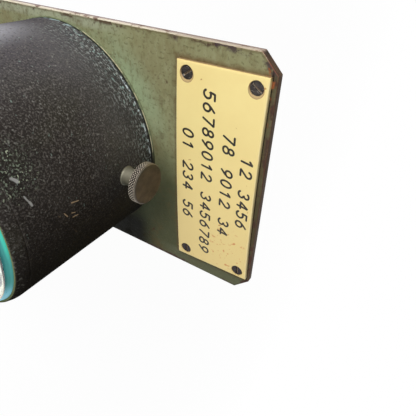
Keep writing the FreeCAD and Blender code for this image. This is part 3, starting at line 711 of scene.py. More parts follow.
label_rows = {
    "12 3456": 1.905, "78 9012 34": 1.742, "56789012 3456789": 1.559, "01 234 56": 1.379,
}
character_height = 4.4 * MM
character_pitch = 4.62 * MM
character_slant = 0.17
stroke_width = 1.06 * MM
stroke_depth = 0.28 * MM
wax_level = label_low.y + 0.07 * MM
engraving = []
for text, row_level in label_rows.items():
    engraving += number_beads(
        text, 0.5 * MM, row_level * case_radius - character_height / 2, character_height,
        character_pitch, character_slant, wax_level, stroke_width, stroke_depth,
    )
wax, shader, here = new_finish("engraving_wax", 0.55)
colour = mottled(here, 160.0, 3.0, (12, 10, 9), (46, 37, 28))
faded = rise(cloud(here, 110.0, 2.0), 0.6, 0.72)
colour = layer(colour, (110, 92, 60), faded, 0.55)
feed(shader, "Base Color", colour)
engraving = [as_laid(grid) for grid in engraving]
add_piece("label_numbers", engraving, 35.0, "base", wax, "needle_paint")

# Label screws: small countersunk steel screws, gone dark and darker towards +X, with a painted
# highlight in the slots of the -X screws.
dark_screw, shader, here = new_finish("darkened_steel", 0.5, 0.6)
x, y, z = axes(here)
colour = mottled(here, 700.0, 2.6, (38, 35, 34), (78, 72, 68))
fleck = speckled(here, 1500.0, 0.62, 0.05)
colour = layer(colour, (150, 142, 132), fleck, 0.5)
head_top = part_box("label_screws")[0].y
# Painted highlight: the slot floors of the -X screws are painted pale against the shade in the slots.
slot_highlight = times(rise(y, head_top + 0.15 * MM, head_top + 0.4 * MM), rise_mm(x, 10, -10))
colour = layer(colour, (40, 32, 34), rise_mm(x, -10, 10), 0.7)
colour = layer(colour, (240, 230, 212), slot_highlight)
feed(shader, "Base Color", colour)
bump(shader, cloud(here, 1200.0, 3.0), 0.05 * MM)


def slotted_head(place_x, place_z, turn):
    """A countersunk screw: a disc whose face drops by 0.6 mm along a slot 0.7 mm wide, at a turn
    from the +X direction, over a cone that closes at a point."""
    face = np.linspace(0, screw_head - 0.06 * MM, 30)
    radius = np.concatenate((face, [screw_head] * 2, [1.4 * MM, 0.0]))
    depth = np.concatenate((np.zeros(30), [0.05 * MM, 0.1 * MM], [1.05 * MM, 1.05 * MM]))
    angle = np.linspace(0, 2 * math.pi, 73)
    across = np.abs(radius[:, None] * np.sin(angle - math.radians(turn)))
    slot_depth = 0.6 * MM * np.clip((0.4 * MM - across) / (0.08 * MM), 0, 1)
    slot_depth[31:] = 0
    sunk = label_low.y + 0.4 * MM + depth[:, None] + slot_depth
    place_x, _, place_z = as_laid(np.array((place_x, 0.0, place_z)))
    return np.stack(
        (place_x + radius[:, None] * np.cos(angle), sunk, place_z + radius[:, None] * np.sin(angle)), -1
    )


slot_turns = (126.0, 55.0, 1.0, 9.0)
screw_grids = [slotted_head(*place, turn) for place, turn in zip(label_screw_places, slot_turns)]
add_piece(
    "label_screw_heads", screw_grids, 35.0, "base", dark_screw, "screw_steel", "label_screws"
)

# Case drum: a length of brass tube turned clean and chemically bronzed nearly black. It has a fine
# grey bloom all over, streaks and verdigris by its foot, and a few scratches near the front. Its
# inside is painted white, to throw light on the dial. A painted sheen lightens its -X side and
# painted shade darkens its +X side.
drum_low, drum_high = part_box("case_drum")
drum_foot = -drum_high.y
drum_end = -drum_low.y
case_wall = 1.2 * MM


def revolve(profile, steps, step=1.0 * MM, uneven=None):
    """Surface swept by a line of (radius, depth) corners about the case's axis. Long runs are cut
    into shorter ones, and uneven adds to the radius from the angle and the depth."""
    profile = np.asarray(profile, float)
    runs = []
    for a, b in zip(profile[:-1], profile[1:]):
        parts = max(1, math.ceil(np.linalg.norm(b - a) / step))
        runs.append(a + (b - a) * np.linspace(0, 1, parts, endpoint=False)[:, None])
    line = np.concatenate(runs + [profile[-1:]])
    angle = np.linspace(0, 2 * math.pi, steps + 1)
    radius = np.repeat(line[:, :1], steps + 1, 1)
    depth = np.repeat(line[:, 1:], steps + 1, 1)
    if uneven is not None:
        radius = radius + uneven(angle[None, :], depth) * (radius > 1e-6)
    return np.stack((radius * np.cos(angle), -depth, radius * np.sin(angle)), -1)


def handled(angle, depth):
    """Very shallow dents: a few slow waves round and along the tube, in metres."""
    return 0.02 * MM * (
        np.sin(3 * angle + 1.1 + 30 * depth) + np.sin(7 * angle + 2.0 - 55 * depth)
        + 0.6 * np.sin(11 * angle + 0.4) * np.sin(90 * depth)
    )


bronze, shader, here = new_finish("bronzed_brass", 0.55)
feed(shader, "Specular IOR Level", 0.0)
x, y, z = axes(here)
colour = mottled(here, 80.0, 2.0, (44, 40, 38), (58, 54, 51))
olive = rise(cloud(here, 48.0, 2.0), 0.5, 0.64)
colour = layer(colour, (56, 55, 43), olive, 0.4)
left_side = rise_mm(x, 4, -44)
depth = times(y, -1.0)
# Painted sheen: a lilac-grey cast rising towards the -X side, where the light falls.
lilac_sheen = rise_mm(plus(x, times(cloud(here, 70.0, 3.0), 9 * MM)), -24, -46)
colour = layer(colour, (128, 125, 134), lilac_sheen, 0.3)
sheen = times(rise_mm(x, -40, -46), rise_mm(z, 17, 0), rise_mm(z, -22, -8), rise_mm(depth, 10, 45))
colour = layer(colour, (188, 188, 196), sheen, 0.95)
# Painted shade: the case darkens towards +X, away from the light.
right_shade = rise_mm(x, -2, 26)
colour = layer(colour, (50, 48, 42), right_shade, 0.7)
# The flank mask fades the pale specks and streaks towards +X, as the shade there would.
flank = minus(1.0, times(rise_mm(x, -20, 26), 0.8))
off_foot = minus(depth, drum_foot)

fine = speckled(here, 1650.0, 0.45, 0.26)
colour = layer(colour, (118, 113, 108), fine, flank, 0.5)
dark_fleck = speckled(here, 1250.0, 0.56, 0.14)
colour = layer(colour, (32, 30, 28), dark_fleck, 0.5)
grit = speckled(here, 1050.0, 0.62, 0.12)
colour = layer(colour, (146, 144, 138), grit, flank, 0.5)
around = times(maths("ARCTAN2", x, z), case_radius)
wrap = put("CombineXYZ", X=times(around, 0.55), Y=depth).outputs[0]
streak = rise(cloud(wrap, 1300.0, 2.0), 0.5, 0.66)
streak = times(streak, rise(cloud(here, 110.0, 2.0), 0.26, 0.5))
upper = times(rise_mm(z, 0, 12), flank)
pale_belt = times(rise_mm(off_foot, 36, 12), upper)
colour = layer(colour, (112, 112, 108), pale_belt, 0.2)
near_foot = times(rise_mm(off_foot, 20, 1), upper)
colour = layer(colour, (46, 47, 48), near_foot, 0.4)
colour = layer(colour, (150, 154, 150), streak, near_foot, 0.9)
green_foot = rise(cloud(wrap, 1000.0, 2.0), 0.59, 0.67)
foot_edge = rise_mm(off_foot, 10, 2)
colour = layer(colour, (166, 192, 186), green_foot, foot_edge, upper, 0.75)
foot_line = rise_mm(off_foot, 1.0, 0.6)
colour = layer(colour, (44, 43, 42), foot_line, 0.9)
dash = rise(cloud(wrap, 560.0, 2.0), 0.5, 0.55)
dash_line = times(rise_mm(off_foot, 0.9, 1.1), rise_mm(off_foot, 1.9, 1.6))
dash_line = times(dash_line, rise_mm(z, 28, 36), rise_mm(x, 3, -4))
colour = layer(colour, (196, 206, 212), dash, dash_line)

to_cluster = put(
    "VectorMath", {"operation": "DISTANCE"}, n0=here, n1=(-21 * MM, -63.2 * MM, 43 * MM)
).outputs["Value"]
cluster = rise_mm(to_cluster, 13, 3)
colour = layer(colour, (36, 35, 32), cluster, 0.45)
verdigris = speckled(here, 1300.0, 0.57, 0.1)
colour = layer(colour, (136, 148, 130), verdigris, cluster, 0.7)
bright = speckled(here, 1000.0, 0.67, 0.05)
colour = layer(colour, (196, 206, 178), bright, cluster, 0.9)
loose_green = speckled(here, 700.0, 0.725, 0.03)
colour = layer(colour, (150, 170, 160), loose_green, flank, 0.5)


def scratch(here, start, end, width):
    """1 within half a width of the straight line from start to end, worn ragged at its sides."""
    start, end = np.array(start) * MM, np.array(end) * MM
    run = end - start
    from_start = put("VectorMath", {"operation": "SUBTRACT"}, n0=here, n1=start.tolist())
    along = put(
        "VectorMath", {"operation": "DOT_PRODUCT"},
        n0=from_start.outputs[0], n1=(run / (run @ run)).tolist(),
    ).outputs["Value"]
    along = maths("MINIMUM", maths("MAXIMUM", along, 0.0), 1.0)
    foot = put("VectorMath", {"operation": "SCALE"}, n0=run.tolist(), Scale=along)
    off = put(
        "VectorMath", {"operation": "DISTANCE"}, n0=from_start.outputs[0], n1=foot.outputs[0]
    ).outputs["Value"]
    ragged = times(minus(cloud(here, 900.0, 2.0), 0.5), width * MM)
    return rise(plus(off, ragged), 0.75 * width * MM, 0.35 * width * MM)


grey, brassy, brown = (170, 170, 168), (192, 166, 134), (110, 90, 66)
for tone, share, width, start, end in (
    (grey, 0.85, 0.9, (-19.0, -62.8, 43.7), (-17.6, -61.6, 44.3)),
    (grey, 0.85, 0.42, (-13.0, -61.8, 45.9), (-9.2, -60.4, 46.8)),
    (grey, 0.85, 0.75, (-10.6, -60.9, 46.5), (-9.4, -60.5, 46.7)),
    (brassy, 0.85, 0.38, (-2.9, -47.2, 47.5), (-2.2, -44.2, 47.6)),
    (brassy, 0.85, 0.36, (-0.7, -50.9, 47.6), (1.2, -49.8, 47.6)),
    (brassy, 0.85, 0.36, (0.8, -48.0, 47.6), (1.4, -46.6, 47.6)),
    (brassy, 0.85, 0.36, (2.7, -47.7, 47.5), (3.0, -45.5, 47.5)),
    (brown, 0.35, 0.35, (-1.1, -53.2, 47.6), (10.9, -46.5, 46.4)),
):
    colour = layer(colour, tone, scratch(here, start, end, width), share)
rim = rise_mm(off_foot, 0.9, 0.3)
rim_specks = times(rise(cloud(here, 420.0, 4.0), 0.55, 0.65), left_side)
colour = layer(colour, (150, 164, 150), rim, rim_specks, 0.6)
joint = rise_mm(apart(depth, drum_end), 0.5, 0.15)
joint = times(joint, rise(cloud(here, 160.0, 4.0), 0.35, 0.6), flank)
colour = layer(colour, (104, 98, 94), joint, 0.35)
off_axis = length_of(x, z)
turquoise = times(
    rise_mm(off_foot, 1.9, 1.1), rise_mm(x, -46, -46.8), rise(cloud(here, 300.0, 3.0), 0.44, 0.54)
)
colour = layer(colour, (168, 190, 190), turquoise, 0.7)
lip_fleck = speckled(here, 620.0, 0.58, 0.08)
behind_lip = times(rise(depth, drum_end + 1 * MM, drum_end + 2.6 * MM), rise_mm(x, -6, 10))
colour = layer(colour, (126, 124, 116), lip_fleck, behind_lip, 0.5)
mouth = times(rise(depth, drum_end + 4.0 * MM, drum_end + 4.4 * MM), rise_mm(off_axis, 46.5, 46.1))
colour = layer(colour, (128, 134, 96), mouth, 0.85)
white_inside = times(
    rise(depth, drum_end + 4.1 * MM, drum_end + 4.0 * MM), rise_mm(off_axis, 46.6, 46.5)
)
colour = layer(colour, (240, 242, 228), white_inside)
feed(shader, "Base Color", colour)
feed(shader, "Roughness", spread(cloud(here, 48.0, 4.0), 0.44, 0.72))
relief = plus(cloud(here, 700.0, 4.0, 0.6), times(grit, 0.5))
bump(shader, relief, 0.07 * MM)
feed(shader, "Coat Weight", times(sheen, 0.5))
feed(shader, "Coat Roughness", 0.38)

drum_profile = [
    (case_radius - case_wall, drum_foot), (case_radius - 0.15 * MM, drum_foot),
    (case_radius - 0.04 * MM, drum_foot + 0.04 * MM), (case_radius, drum_foot + 0.15 * MM),
    (case_radius, drum_end - 0.25 * MM), (case_radius - 0.1 * MM, drum_end - 0.05 * MM),
    (case_radius - case_wall, drum_end - 0.05 * MM), (case_radius - case_wall, drum_foot),
]
add_piece(
    "drum", [revolve(drum_profile, 256, 1.0 * MM, handled)], 35.0,
    "cover", bronze, "bronzed_brass", "case_drum",
)

# Bezel: a turned brass ring pushed into the drum's front, bronzed with it. It rounds over from
# the drum's side to a narrow lip, whose worn inner edge holds the glass.
bezel_low, bezel_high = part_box("bezel")
bezel_end = -bezel_low.y
shoulder = np.linspace(0, 1, 9)
shoulder_line = np.stack(
    (case_radius - 0.85 * MM * shoulder ** 2, drum_end + 0.15 * MM + 3.75 * MM * shoulder), -1
)
lip_turn = np.linspace(0, math.pi / 2, 7)
lip_line = np.stack(
    (case_radius - 1.6 * MM + 0.75 * MM * np.cos(lip_turn),
     bezel_end - 0.8 * MM + 0.8 * MM * np.sin(lip_turn)), -1
)
bezel_profile = np.concatenate((
    [(case_radius - 1.2 * MM, -bezel_high.y), (case_radius - 0.62 * MM, -bezel_high.y),
     (case_radius - 0.62 * MM, drum_end), (case_radius - 0.12 * MM, drum_end + 0.02 * MM)],
    shoulder_line, lip_line,
    [(45.5 * MM, bezel_end - 0.08 * MM), (45.5 * MM, bezel_end - 0.9 * MM),
     (46.425 * MM, bezel_end - 1.0 * MM), (case_radius - 1.2 * MM, -bezel_high.y)],
))
add_piece(
    "bezel_ring", [revolve(bezel_profile, 256, 1.2 * MM, handled)], 50.0,
    "cover", bronze, "bronzed_brass", "bezel",
)

# Window glass: a thick disc of plate glass with a wide ground bevel, which stands proud of the
# bezel. Its face is polished. Over the bevel lies a thin teal shell whose glow is painted light,
# standing for the turquoise seen through the bevel, with painted highlights.
glass_low, glass_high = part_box("window_glass")
glass_back = -glass_high.y
glass_end = -glass_low.y
glass_radius = glass_high.x
bevel_width = 1.8 * MM
bevel_back = glass_end - 3.3 * MM
bevel_outer = 45.4 * MM

glass, shader, here = new_finish("window_glass", 0.03)
tree = glass.node_tree
feed(shader, "Transmission Weight", 1.0)
feed(shader, "IOR", 1.5)
feed(shader, "Base Color", (0.985, 1.0, 0.995, 1.0))
rays = put("LightPath", tree=tree)
through = put("BsdfTransparent", tree=tree, Color=(0.985, 1.0, 0.995, 1.0))
indirect = maths("MAXIMUM", rays.outputs["Is Shadow Ray"], rays.outputs["Is Diffuse Ray"])
clear = put(
    "MixShader", n0=indirect, n1=shader.outputs[0], n2=through.outputs[0]
)
tree.links.new(clear.outputs[0], tree.nodes["Material Output"].inputs["Surface"])
glass_profile = [
    (0.0, glass_back), (glass_radius - 0.2 * MM, glass_back), (glass_radius, glass_back + 0.2 * MM),
    (glass_radius, bevel_back), (bevel_outer, bevel_back + 0.05 * MM),
    (bevel_outer, glass_end - 2.3 * MM), (glass_radius - bevel_width, glass_end - 0.03 * MM),
    (glass_radius - bevel_width - 0.1 * MM, glass_end), (0.0, glass_end),
]
add_piece(
    "glass_disc", [revolve(glass_profile, 256, 3 * MM)], 20.0,
    "cover", glass, "clear_glass", "window_glass",
)

# Painted light: the shell's teal colour and glow stand for the turquoise seen through the bevel.
glow, shader, here = new_finish("bevel_glow", 0.4)
x, y, z = axes(here)
off_axis = length_of(x, z)
angle = maths("ARCTAN2", z, x)
wander = times(minus(cloud(here, 60.0, 3.0), 0.5), 0.5 * MM)
level = plus(off_axis, wander)
colour = layer(linear(50, 116, 116), (74, 156, 152), rise_mm(level, 44.5, 44.85))
outer = rise_mm(level, 44.9, 45.2)
colour = layer(colour, (86, 172, 168), outer)
# Painted highlights: brighter turquoise and pale blue bands at given angles round the bevel.
colour = layer(colour, (78, 214, 190), outer, rise(angle, 1.38, 1.58), 0.8)
bluish = times(rise(angle, 1.2, 0.95), rise(angle, -0.6, 0.0))
colour = layer(colour, (142, 222, 242), bluish, 0.95)
streaks = cloud(stretched(here, 1, 4, 1), 150.0, 4.0)
colour = layer(colour, (46, 104, 108), rise(streaks, 0.5, 0.72), 0.5)
feed(shader, "Base Color", colour)
feed(shader, "Emission Color", colour)
feed(shader, "Emission Strength", 0.3)
feed(shader, "Specular IOR Level", 0.05)
feed(shader, "Coat Weight", 0.02)
feed(shader, "Coat Roughness", 0.05)
skin_out = 0.03 * MM
bevel_profile = [
    (bevel_outer - 0.02 * MM, glass_end - 2.6 * MM),
    (bevel_outer + skin_out, glass_end - 2.6 * MM), (bevel_outer + skin_out, glass_end - 2.3 * MM),
    (glass_radius - bevel_width + skin_out, glass_end - 0.02 * MM),
    (glass_radius - bevel_width - 0.02 * MM, glass_end - 0.02 * MM),
    (bevel_outer - 0.02 * MM, glass_end - 2.35 * MM), (bevel_outer - 0.02 * MM, glass_end - 2.6 * MM),
]
add_piece(
    "bevel_tint", [revolve(bevel_profile, 256, 0.5 * MM)], 35.0,
    "cover", glow, "seal_teal",
)

# Glass seal and spring ring: a turquoise felt ring behind the glass, and the split brass ring
# that is sprung into the case to hold both.
felt, shader, here = plain_finish(
    "seal_felt", 0.85, 0.0, 320.0, 2.4, (52, 120, 122), (88, 168, 164)
)
bump(shader, cloud(here, 1500.0, 3.0), 0.12 * MM)
dress(felt, "glass_seal")


def tarnished(here, low, high, dark):
    """Brass that drifts between two colours, with patches of a dark one, and the patches' mask."""
    patches = rise(cloud(here, 75.0, 5.0, 0.65), 0.5, 0.72)
    return layer(mottled(here, 110.0, 2.2, low, high), dark, patches, 0.6), patches


brass, shader, here = new_finish("bare_brass", 0.34, 1.0)
x, y, z = axes(here)
colour, tarnish = tarnished(here, (168, 140, 84), (208, 178, 112), (118, 92, 58))
spots = speckled(here, 520.0, 0.68, 0.05)
colour = layer(colour, (84, 96, 74), spots, 0.6)
feed(shader, "Base Color", colour)
feed(shader, "Roughness", spread(tarnish, 0.26, 0.52))
off_axis = length_of(x, z)
lathe = put("TexNoise", {"noise_dimensions": "1D"}, W=off_axis, Scale=4200.0, Detail=2.0)
bump(shader, lathe.outputs[0], 0.02 * MM)
dress(
    brass, "glass_ring", "rear_bearing", "bridge_pillars", "front_bridge",
    "dial_pillars", "terminal_studs", "terminal_washers", "terminal_nuts", "stop_pins",
    "balance_weight", "needle_boss", "balance_arm",
)

# Base casting: turned brass plate that the case pushes over. Its rim shows round the case's foot,
# where the plate's paint has run up against it and the edge is rubbed pale.
base_brass, shader, here = new_finish("base_brass", 0.4)
x, y, z = axes(here)
colour, tarnish = tarnished(here, (150, 124, 76), (196, 166, 104), (110, 86, 56))
off_axis = length_of(x, z)
rim = rise(off_axis, case_radius - 0.3 * MM, case_radius - 0.05 * MM)
lit_rim_side = rise_mm(x, 2, -10)
rim_colour = mottled(here, 240.0, 2.6, (96, 102, 78), (136, 144, 112))
arris = times(
    rise(y, drum_high.y + 0.3 * MM, drum_high.y + 0.12 * MM),
    rise(off_axis, case_radius + 0.22 * MM, case_radius + 0.34 * MM), rise_mm(x, -46.8, -45),
)
arris_broken = rise(cloud(here, 240.0, 4.0), 0.44, 0.56)
rim_colour = layer(rim_colour, (208, 196, 164), arris, arris_broken)
rim_inner = rise(off_axis, case_radius + 0.2 * MM, case_radius + 0.05 * MM)
rim_colour = layer(rim_colour, (40, 36, 32), rim_inner, 0.8)
# Painted shade: the rim darkens on the +X side, away from the light.
shaded = minus(1.0, lit_rim_side)
rim_colour = layer(rim_colour, (34, 32, 25), shaded, 0.9)
colour = cover_with(rim, colour, rim_colour)
feed(shader, "Base Color", colour)
feed(shader, "Metallic", minus(1.0, rim))
feed(shader, "Roughness", spread(maths("MAXIMUM", tarnish, rim), 0.28, 0.6))
feed(shader, "Specular IOR Level", 0.1)
bump(shader, cloud(here, 420.0, 3.0), 0.03 * MM)
dress(base_brass, "base_casting")

# Thumbscrew: a smooth round boss brazed on the case, and a screw with a flat knurled head. The
# knurl is diamond cut between two plain rims, and the whole has tarnished to a warm grey.
thumb, shader, here = new_finish("thumbscrew_metal", 0.45, 0.45)
x, y, z = axes(here)
head_low, head_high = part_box("thumbscrew_head")
thumb_y = (head_low.y + head_high.y) / 2
thumb_radius = (head_high.x - head_low.x) / 2
colour = mottled(here, 230.0, 2.4, (108, 104, 90), (152, 146, 130))
brown = rise(cloud(here, 160.0, 4.0), 0.5, 0.7)
colour = layer(colour, (104, 90, 72), brown, 0.4)
face = rise(z, head_high.z - 0.2 * MM, head_high.z - 0.13 * MM)
face_colour = mottled(stretched(here, 1.5, 0.8, 1), 260.0, 3.0, (46, 37, 31), (74, 62, 52))
off_thumb = minus(y, thumb_y)
from_middle = length_of(x, off_thumb)
near_left = times(rise_mm(from_middle, 5.6, 7.2), rise_mm(x, 1, -5))
face_colour = layer(face_colour, (50, 48, 38), near_left, 0.5)
on_boss = rise(z, head_low.z, head_low.z - 0.1 * MM)
bands = put("TexNoise", {"noise_dimensions": "1D"}, W=z, Scale=1300.0, Detail=1.0)
banded = times(rise(bands.outputs[0], 0.48, 0.6), rise_mm(x, -3, 1))
colour = layer(colour, (84, 74, 62), banded, on_boss, 0.5)
# Painted shade: the boss darkens on its +X side, away from the light.
boss_shaded_side = times(rise_mm(x, -1.5, 2.8), on_boss)
colour = layer(colour, (40, 37, 32), boss_shaded_side, 0.85)
colour = layer(colour, (112, 114, 92), on_boss, 0.3)
colour = cover_with(face, colour, face_colour)
face_groove = times(
    rise(from_middle, thumb_radius - 0.6 * MM, thumb_radius - 0.5 * MM),
    rise(z, head_high.z - 0.54 * MM, head_high.z - 0.5 * MM),
    rise(z, head_high.z - 0.26 * MM, head_high.z - 0.3 * MM),
)
colour = layer(colour, (34, 28, 22), face_groove, 0.95)
groove = rise(from_middle, thumb_radius - 0.03 * MM, thumb_radius - 0.15 * MM)
on_knurl = times(
    rise(z, head_low.z + 0.08 * MM, head_low.z + 0.2 * MM),
    rise(z, head_high.z - 0.56 * MM, head_high.z - 0.64 * MM),
)
crest = times(on_knurl, rise(from_middle, thumb_radius - 0.08 * MM, thumb_radius - 0.01 * MM))
colour = layer(colour, (184, 170, 156), crest, 0.6)
colour = layer(colour, (34, 28, 24), groove, on_knurl, 0.95)
rubbed = times(
    rise(z, head_high.z - 0.7 * MM, head_high.z - 0.6 * MM),
    rise(z, head_high.z - 0.46 * MM, head_high.z - 0.52 * MM),
    rise(from_middle, thumb_radius - 0.12 * MM, thumb_radius - 0.05 * MM),
)
colour = layer(colour, (196, 178, 162), rubbed, 0.6)
handled_side = times(
    rise_mm(x, -4, -6.5), rise_mm(off_thumb, -2, 1),
    rise(z, head_low.z + 0.5 * MM, head_low.z + 1.2 * MM),
    rise(z, head_high.z, head_high.z - 0.2 * MM),
)
colour = layer(colour, (118, 108, 90), handled_side, 0.7)
feed(shader, "Base Color", colour)
feed(shader, "Roughness", spread(cloud(here, 300.0, 4.0), 0.34, 0.6))
bump(shader, cloud(here, 900.0, 4.0), 0.05 * MM)


def corners(radius, level, *pairs):
    """Corners of a profile, each so far in from a radius and so far up from a level, in mm."""
    return [(radius - inward * MM, level + up * MM) for inward, up in pairs]


def upright_turn(profile, steps, ripple=None):
    """Surface swept by (radius, height) corners about the thumbscrew's own upright axis. Ripple
    adds to the radius from the angle and the height."""
    line = np.asarray(profile, float)
    angle = np.linspace(0, 2 * math.pi, steps + 1)
    radius = np.repeat(line[:, :1], steps + 1, 1)
    height = np.repeat(line[:, 1:], steps + 1, 1)
    if ripple is not None:
        radius = radius + ripple(angle[None, :], height)
    return np.stack((radius * np.cos(angle), thumb_y + radius * np.sin(angle), height), -1)


knurl_low = head_low.z + 0.12 * MM
knurl_high = head_high.z - 0.62 * MM
knurl_teeth = 46
knurl_pitch = 2 * math.pi * thumb_radius / knurl_teeth
knurl_depth = 0.42 * MM
knurl_fade = 0.12 * MM
handled_angle, handled_spread = 2.75, 0.35


def diamonds(angle, height):
    """Two families of crossing helical V grooves. Each is a triangle wave of the angle plus or
    minus the height, and the deeper of the two counts. They fade out at the plain rims and on
    the side that has been handled most."""
    turn = angle * knurl_teeth / (2 * math.pi)
    climb = (height - knurl_low) / knurl_pitch
    one = np.abs((turn + climb) % 1.0 - 0.5) * 2
    two = np.abs((turn - climb) % 1.0 - 0.5) * 2
    inside = np.clip((height - knurl_low) / knurl_fade, 0, 1)
    inside = inside * np.clip((knurl_high - height) / knurl_fade, 0, 1)
    worn = 1 - 0.75 * np.exp(-((angle - handled_angle) / handled_spread) ** 2)
    return -knurl_depth * np.clip(np.maximum(one, two) * 2.2 - 1.1, 0, 1) * inside * worn


head_profile = [
    (0.0, head_low.z), *corners(thumb_radius, head_low.z, (0.5, 0), (0.15, 0.02), (0, 0.1)),
    *[(thumb_radius, row) for row in np.linspace(knurl_low, knurl_high, 25)],
    *corners(
        thumb_radius, head_high.z, (0, -0.58), (0.06, -0.53), (0.42, -0.48), (0.45, -0.4),
        (0.18, -0.33), (0.16, -0.26), (0.32, -0.06), (0.5, 0), (1.2, -0.02),
    ),
    (0.0, head_high.z - 0.06 * MM),
]
add_piece(
    "thumb_head", [upright_turn(head_profile, knurl_teeth * 14, diamonds)], 50.0,
    "thumbscrew_knob", thumb, "thumb_metal", "thumbscrew_head",
)

boss_low, boss_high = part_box("thumbscrew_boss")
boss_radius = (boss_high.x - boss_low.x) / 2


def seated(profile, steps, case):
    """The boss's turned surface with its lowest rows let down on to the case. Each point's height
    is its row's plus the drop of the case's round there, which is R minus sqrt(R squared - x
    squared), for the rows below the middle of the boss."""
    grid = upright_turn(profile, steps)
    middle = (case + boss_high.z) / 2
    share = np.clip((middle - grid[..., 2]) / (middle - case), 0, 1)
    drop = case - np.sqrt(case ** 2 - grid[..., 0] ** 2)
    grid[..., 2] = grid[..., 2] - drop * share
    return grid


foot_turn = np.linspace(0, math.pi / 2, 6)
foot_out = boss_radius + 0.45 * MM - 0.45 * MM * np.sin(foot_turn)
foot_up = case_radius + 0.5 * MM - 0.5 * MM * np.cos(foot_turn)
boss_profile = [
    (0.0, case_radius - 0.5 * MM), *corners(boss_radius, case_radius, (-0.5, -0.4)),
    *zip(foot_out, foot_up), *corners(boss_radius, case_radius, (0.05, 3.0)),
    *corners(boss_radius, boss_high.z, (0.12, -1.6), (0.1, -0.5), (0.3, -0.15), (0.6, 0)),
    (0.0, boss_high.z),
]
add_piece(
    "thumb_boss", [seated(boss_profile, 64, case_radius)], 60.0,
    "cover", thumb, "thumb_metal", "thumbscrew_boss",
)
dress(thumb, "thumbscrew_shank")

# Dial: a round plate in white vitreous enamel, crazed and slightly cream, with a printed scale
# ring, plain numbers and a red zone right of the top, where the needle rests with no current.
enamel, shader, here = new_finish("dial_enamel", 0.22)
colour = mottled(here, 30.0, 1.6, (236, 240, 224), (248, 250, 240))
craze = put(
    "TexVoronoi", {"feature": "DISTANCE_TO_EDGE"}, Vector=here, Scale=260.0
).outputs["Distance"]
crazed = times(rise(craze, 0.03, 0.0), rise(cloud(here, 50.0), 0.45, 0.7))
colour = layer(colour, (168, 162, 138), crazed, 0.12)
x, y, z = axes(here)
off_axis = length_of(x, z)
dial_edge = rise_mm(off_axis, 42.5, 45)
colour = layer(colour, (206, 204, 182), dial_edge, 0.15)
feed(shader, "Base Color", colour)
# Painted light: the enamel glows a little, so that it reads as brightly lit behind the glass.
feed(shader, "Emission Color", colour)
feed(shader, "Emission Strength", 0.34)
feed(shader, "Coat Weight", 0.25)
feed(shader, "Coat Roughness", 0.08)
bump(shader, cloud(here, 60.0, 2.0), 0.06 * MM)
dress(enamel, "dial_plate")

dial_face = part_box("dial_plate")[0].y


def sector(inner, outer, start, end, y, thick=0.05 * MM, steps=48):
    """A closed thin plate between two radii and two clock angles, in degrees to the right of the
    top. Its section is a rectangle and its two ends are capped."""
    angle = np.radians(90 - np.linspace(start, end, steps + 1))
    section = np.array(((inner, y), (outer, y), (outer, y - thick), (inner, y - thick), (inner, y)))
    radius, level = section[:, :1], section[:, 1:]
    grid = np.stack((radius * np.cos(angle), level + 0 * angle, radius * np.sin(angle)), -1)
    cap_a = np.stack((grid[:2, 0], grid[3:1:-1, 0]), 0)
    cap_b = np.stack((grid[:2, -1], grid[3:1:-1, -1]), 0)
    return [grid, cap_a, cap_b]


print_ink, shader, here = plain_finish("dial_ink", 0.4, 0.0, 200.0, 2.0, (24, 24, 26), (44, 42, 42))
scale_marks = sector(40.6 * MM, 41.0 * MM, -62, 62, dial_face, steps=96)
mark_end = 40.7 * MM
last_mark, mark_step, long_step = 60, 5, 20
for mark in range(-last_mark, last_mark + 1, mark_step):
    long_mark = mark % long_step == 0
    half = 0.55 if long_mark else 0.3
    inner = 37.4 if long_mark else 38.9
    scale_marks += sector(inner * MM, mark_end, mark - half, mark + half, dial_face, steps=2)
number_ring = 29.8 * MM
number_height = 4.2 * MM
dial_numbers = []
for count, mark in enumerate(range(-last_mark, last_mark + 1, long_step)):
    turn = math.radians(90 - mark)
    dial_numbers += number_beads(
        str(count), number_ring * math.cos(turn), number_ring * math.sin(turn) - number_height / 2,
        number_height, 4.0 * MM, 0.0, dial_face - 0.01 * MM, 0.6 * MM, 0.08 * MM,
    )
add_piece("dial_marks", scale_marks, 35.0, "base", print_ink, "needle_paint")
add_piece("dial_numbers", dial_numbers, 35.0, "base", print_ink, "needle_paint")

red_ink, shader, here = plain_finish(
    "dial_red", 0.35, 0.0, 180.0, 2.0, (196, 66, 60), (222, 96, 88)
)
red_zone = sector(33.2 * MM, 37.2 * MM, 14, 50, dial_face)
add_piece("dial_red_zone", red_zone, 35.0, "base", red_ink, "needle_paint")
dress(dark_screw, "dial_screws")

# Needle: thin aluminium blade, painted black, with a brass boss pressed on the spindle. The
# spindle, armature and balance weight turn with it.
black_paint, shader, here = plain_finish(
    "needle_black", 0.35, 0.0, 260.0, 2.0, (20, 20, 22), (40, 38, 38)
)
bump(shader, cloud(here, 1400.0, 2.0), 0.02 * MM)
dress(black_paint, "needle_pointer")

polished, shader, here = plain_finish(
    "pivot_steel", 0.2, 1.0, 200.0, 2.0, (140, 142, 148), (186, 188, 192)
)
feed(shader, "Roughness", spread(cloud(here, 500.0, 3.0), 0.14, 0.34))
dress(polished, "spindle")

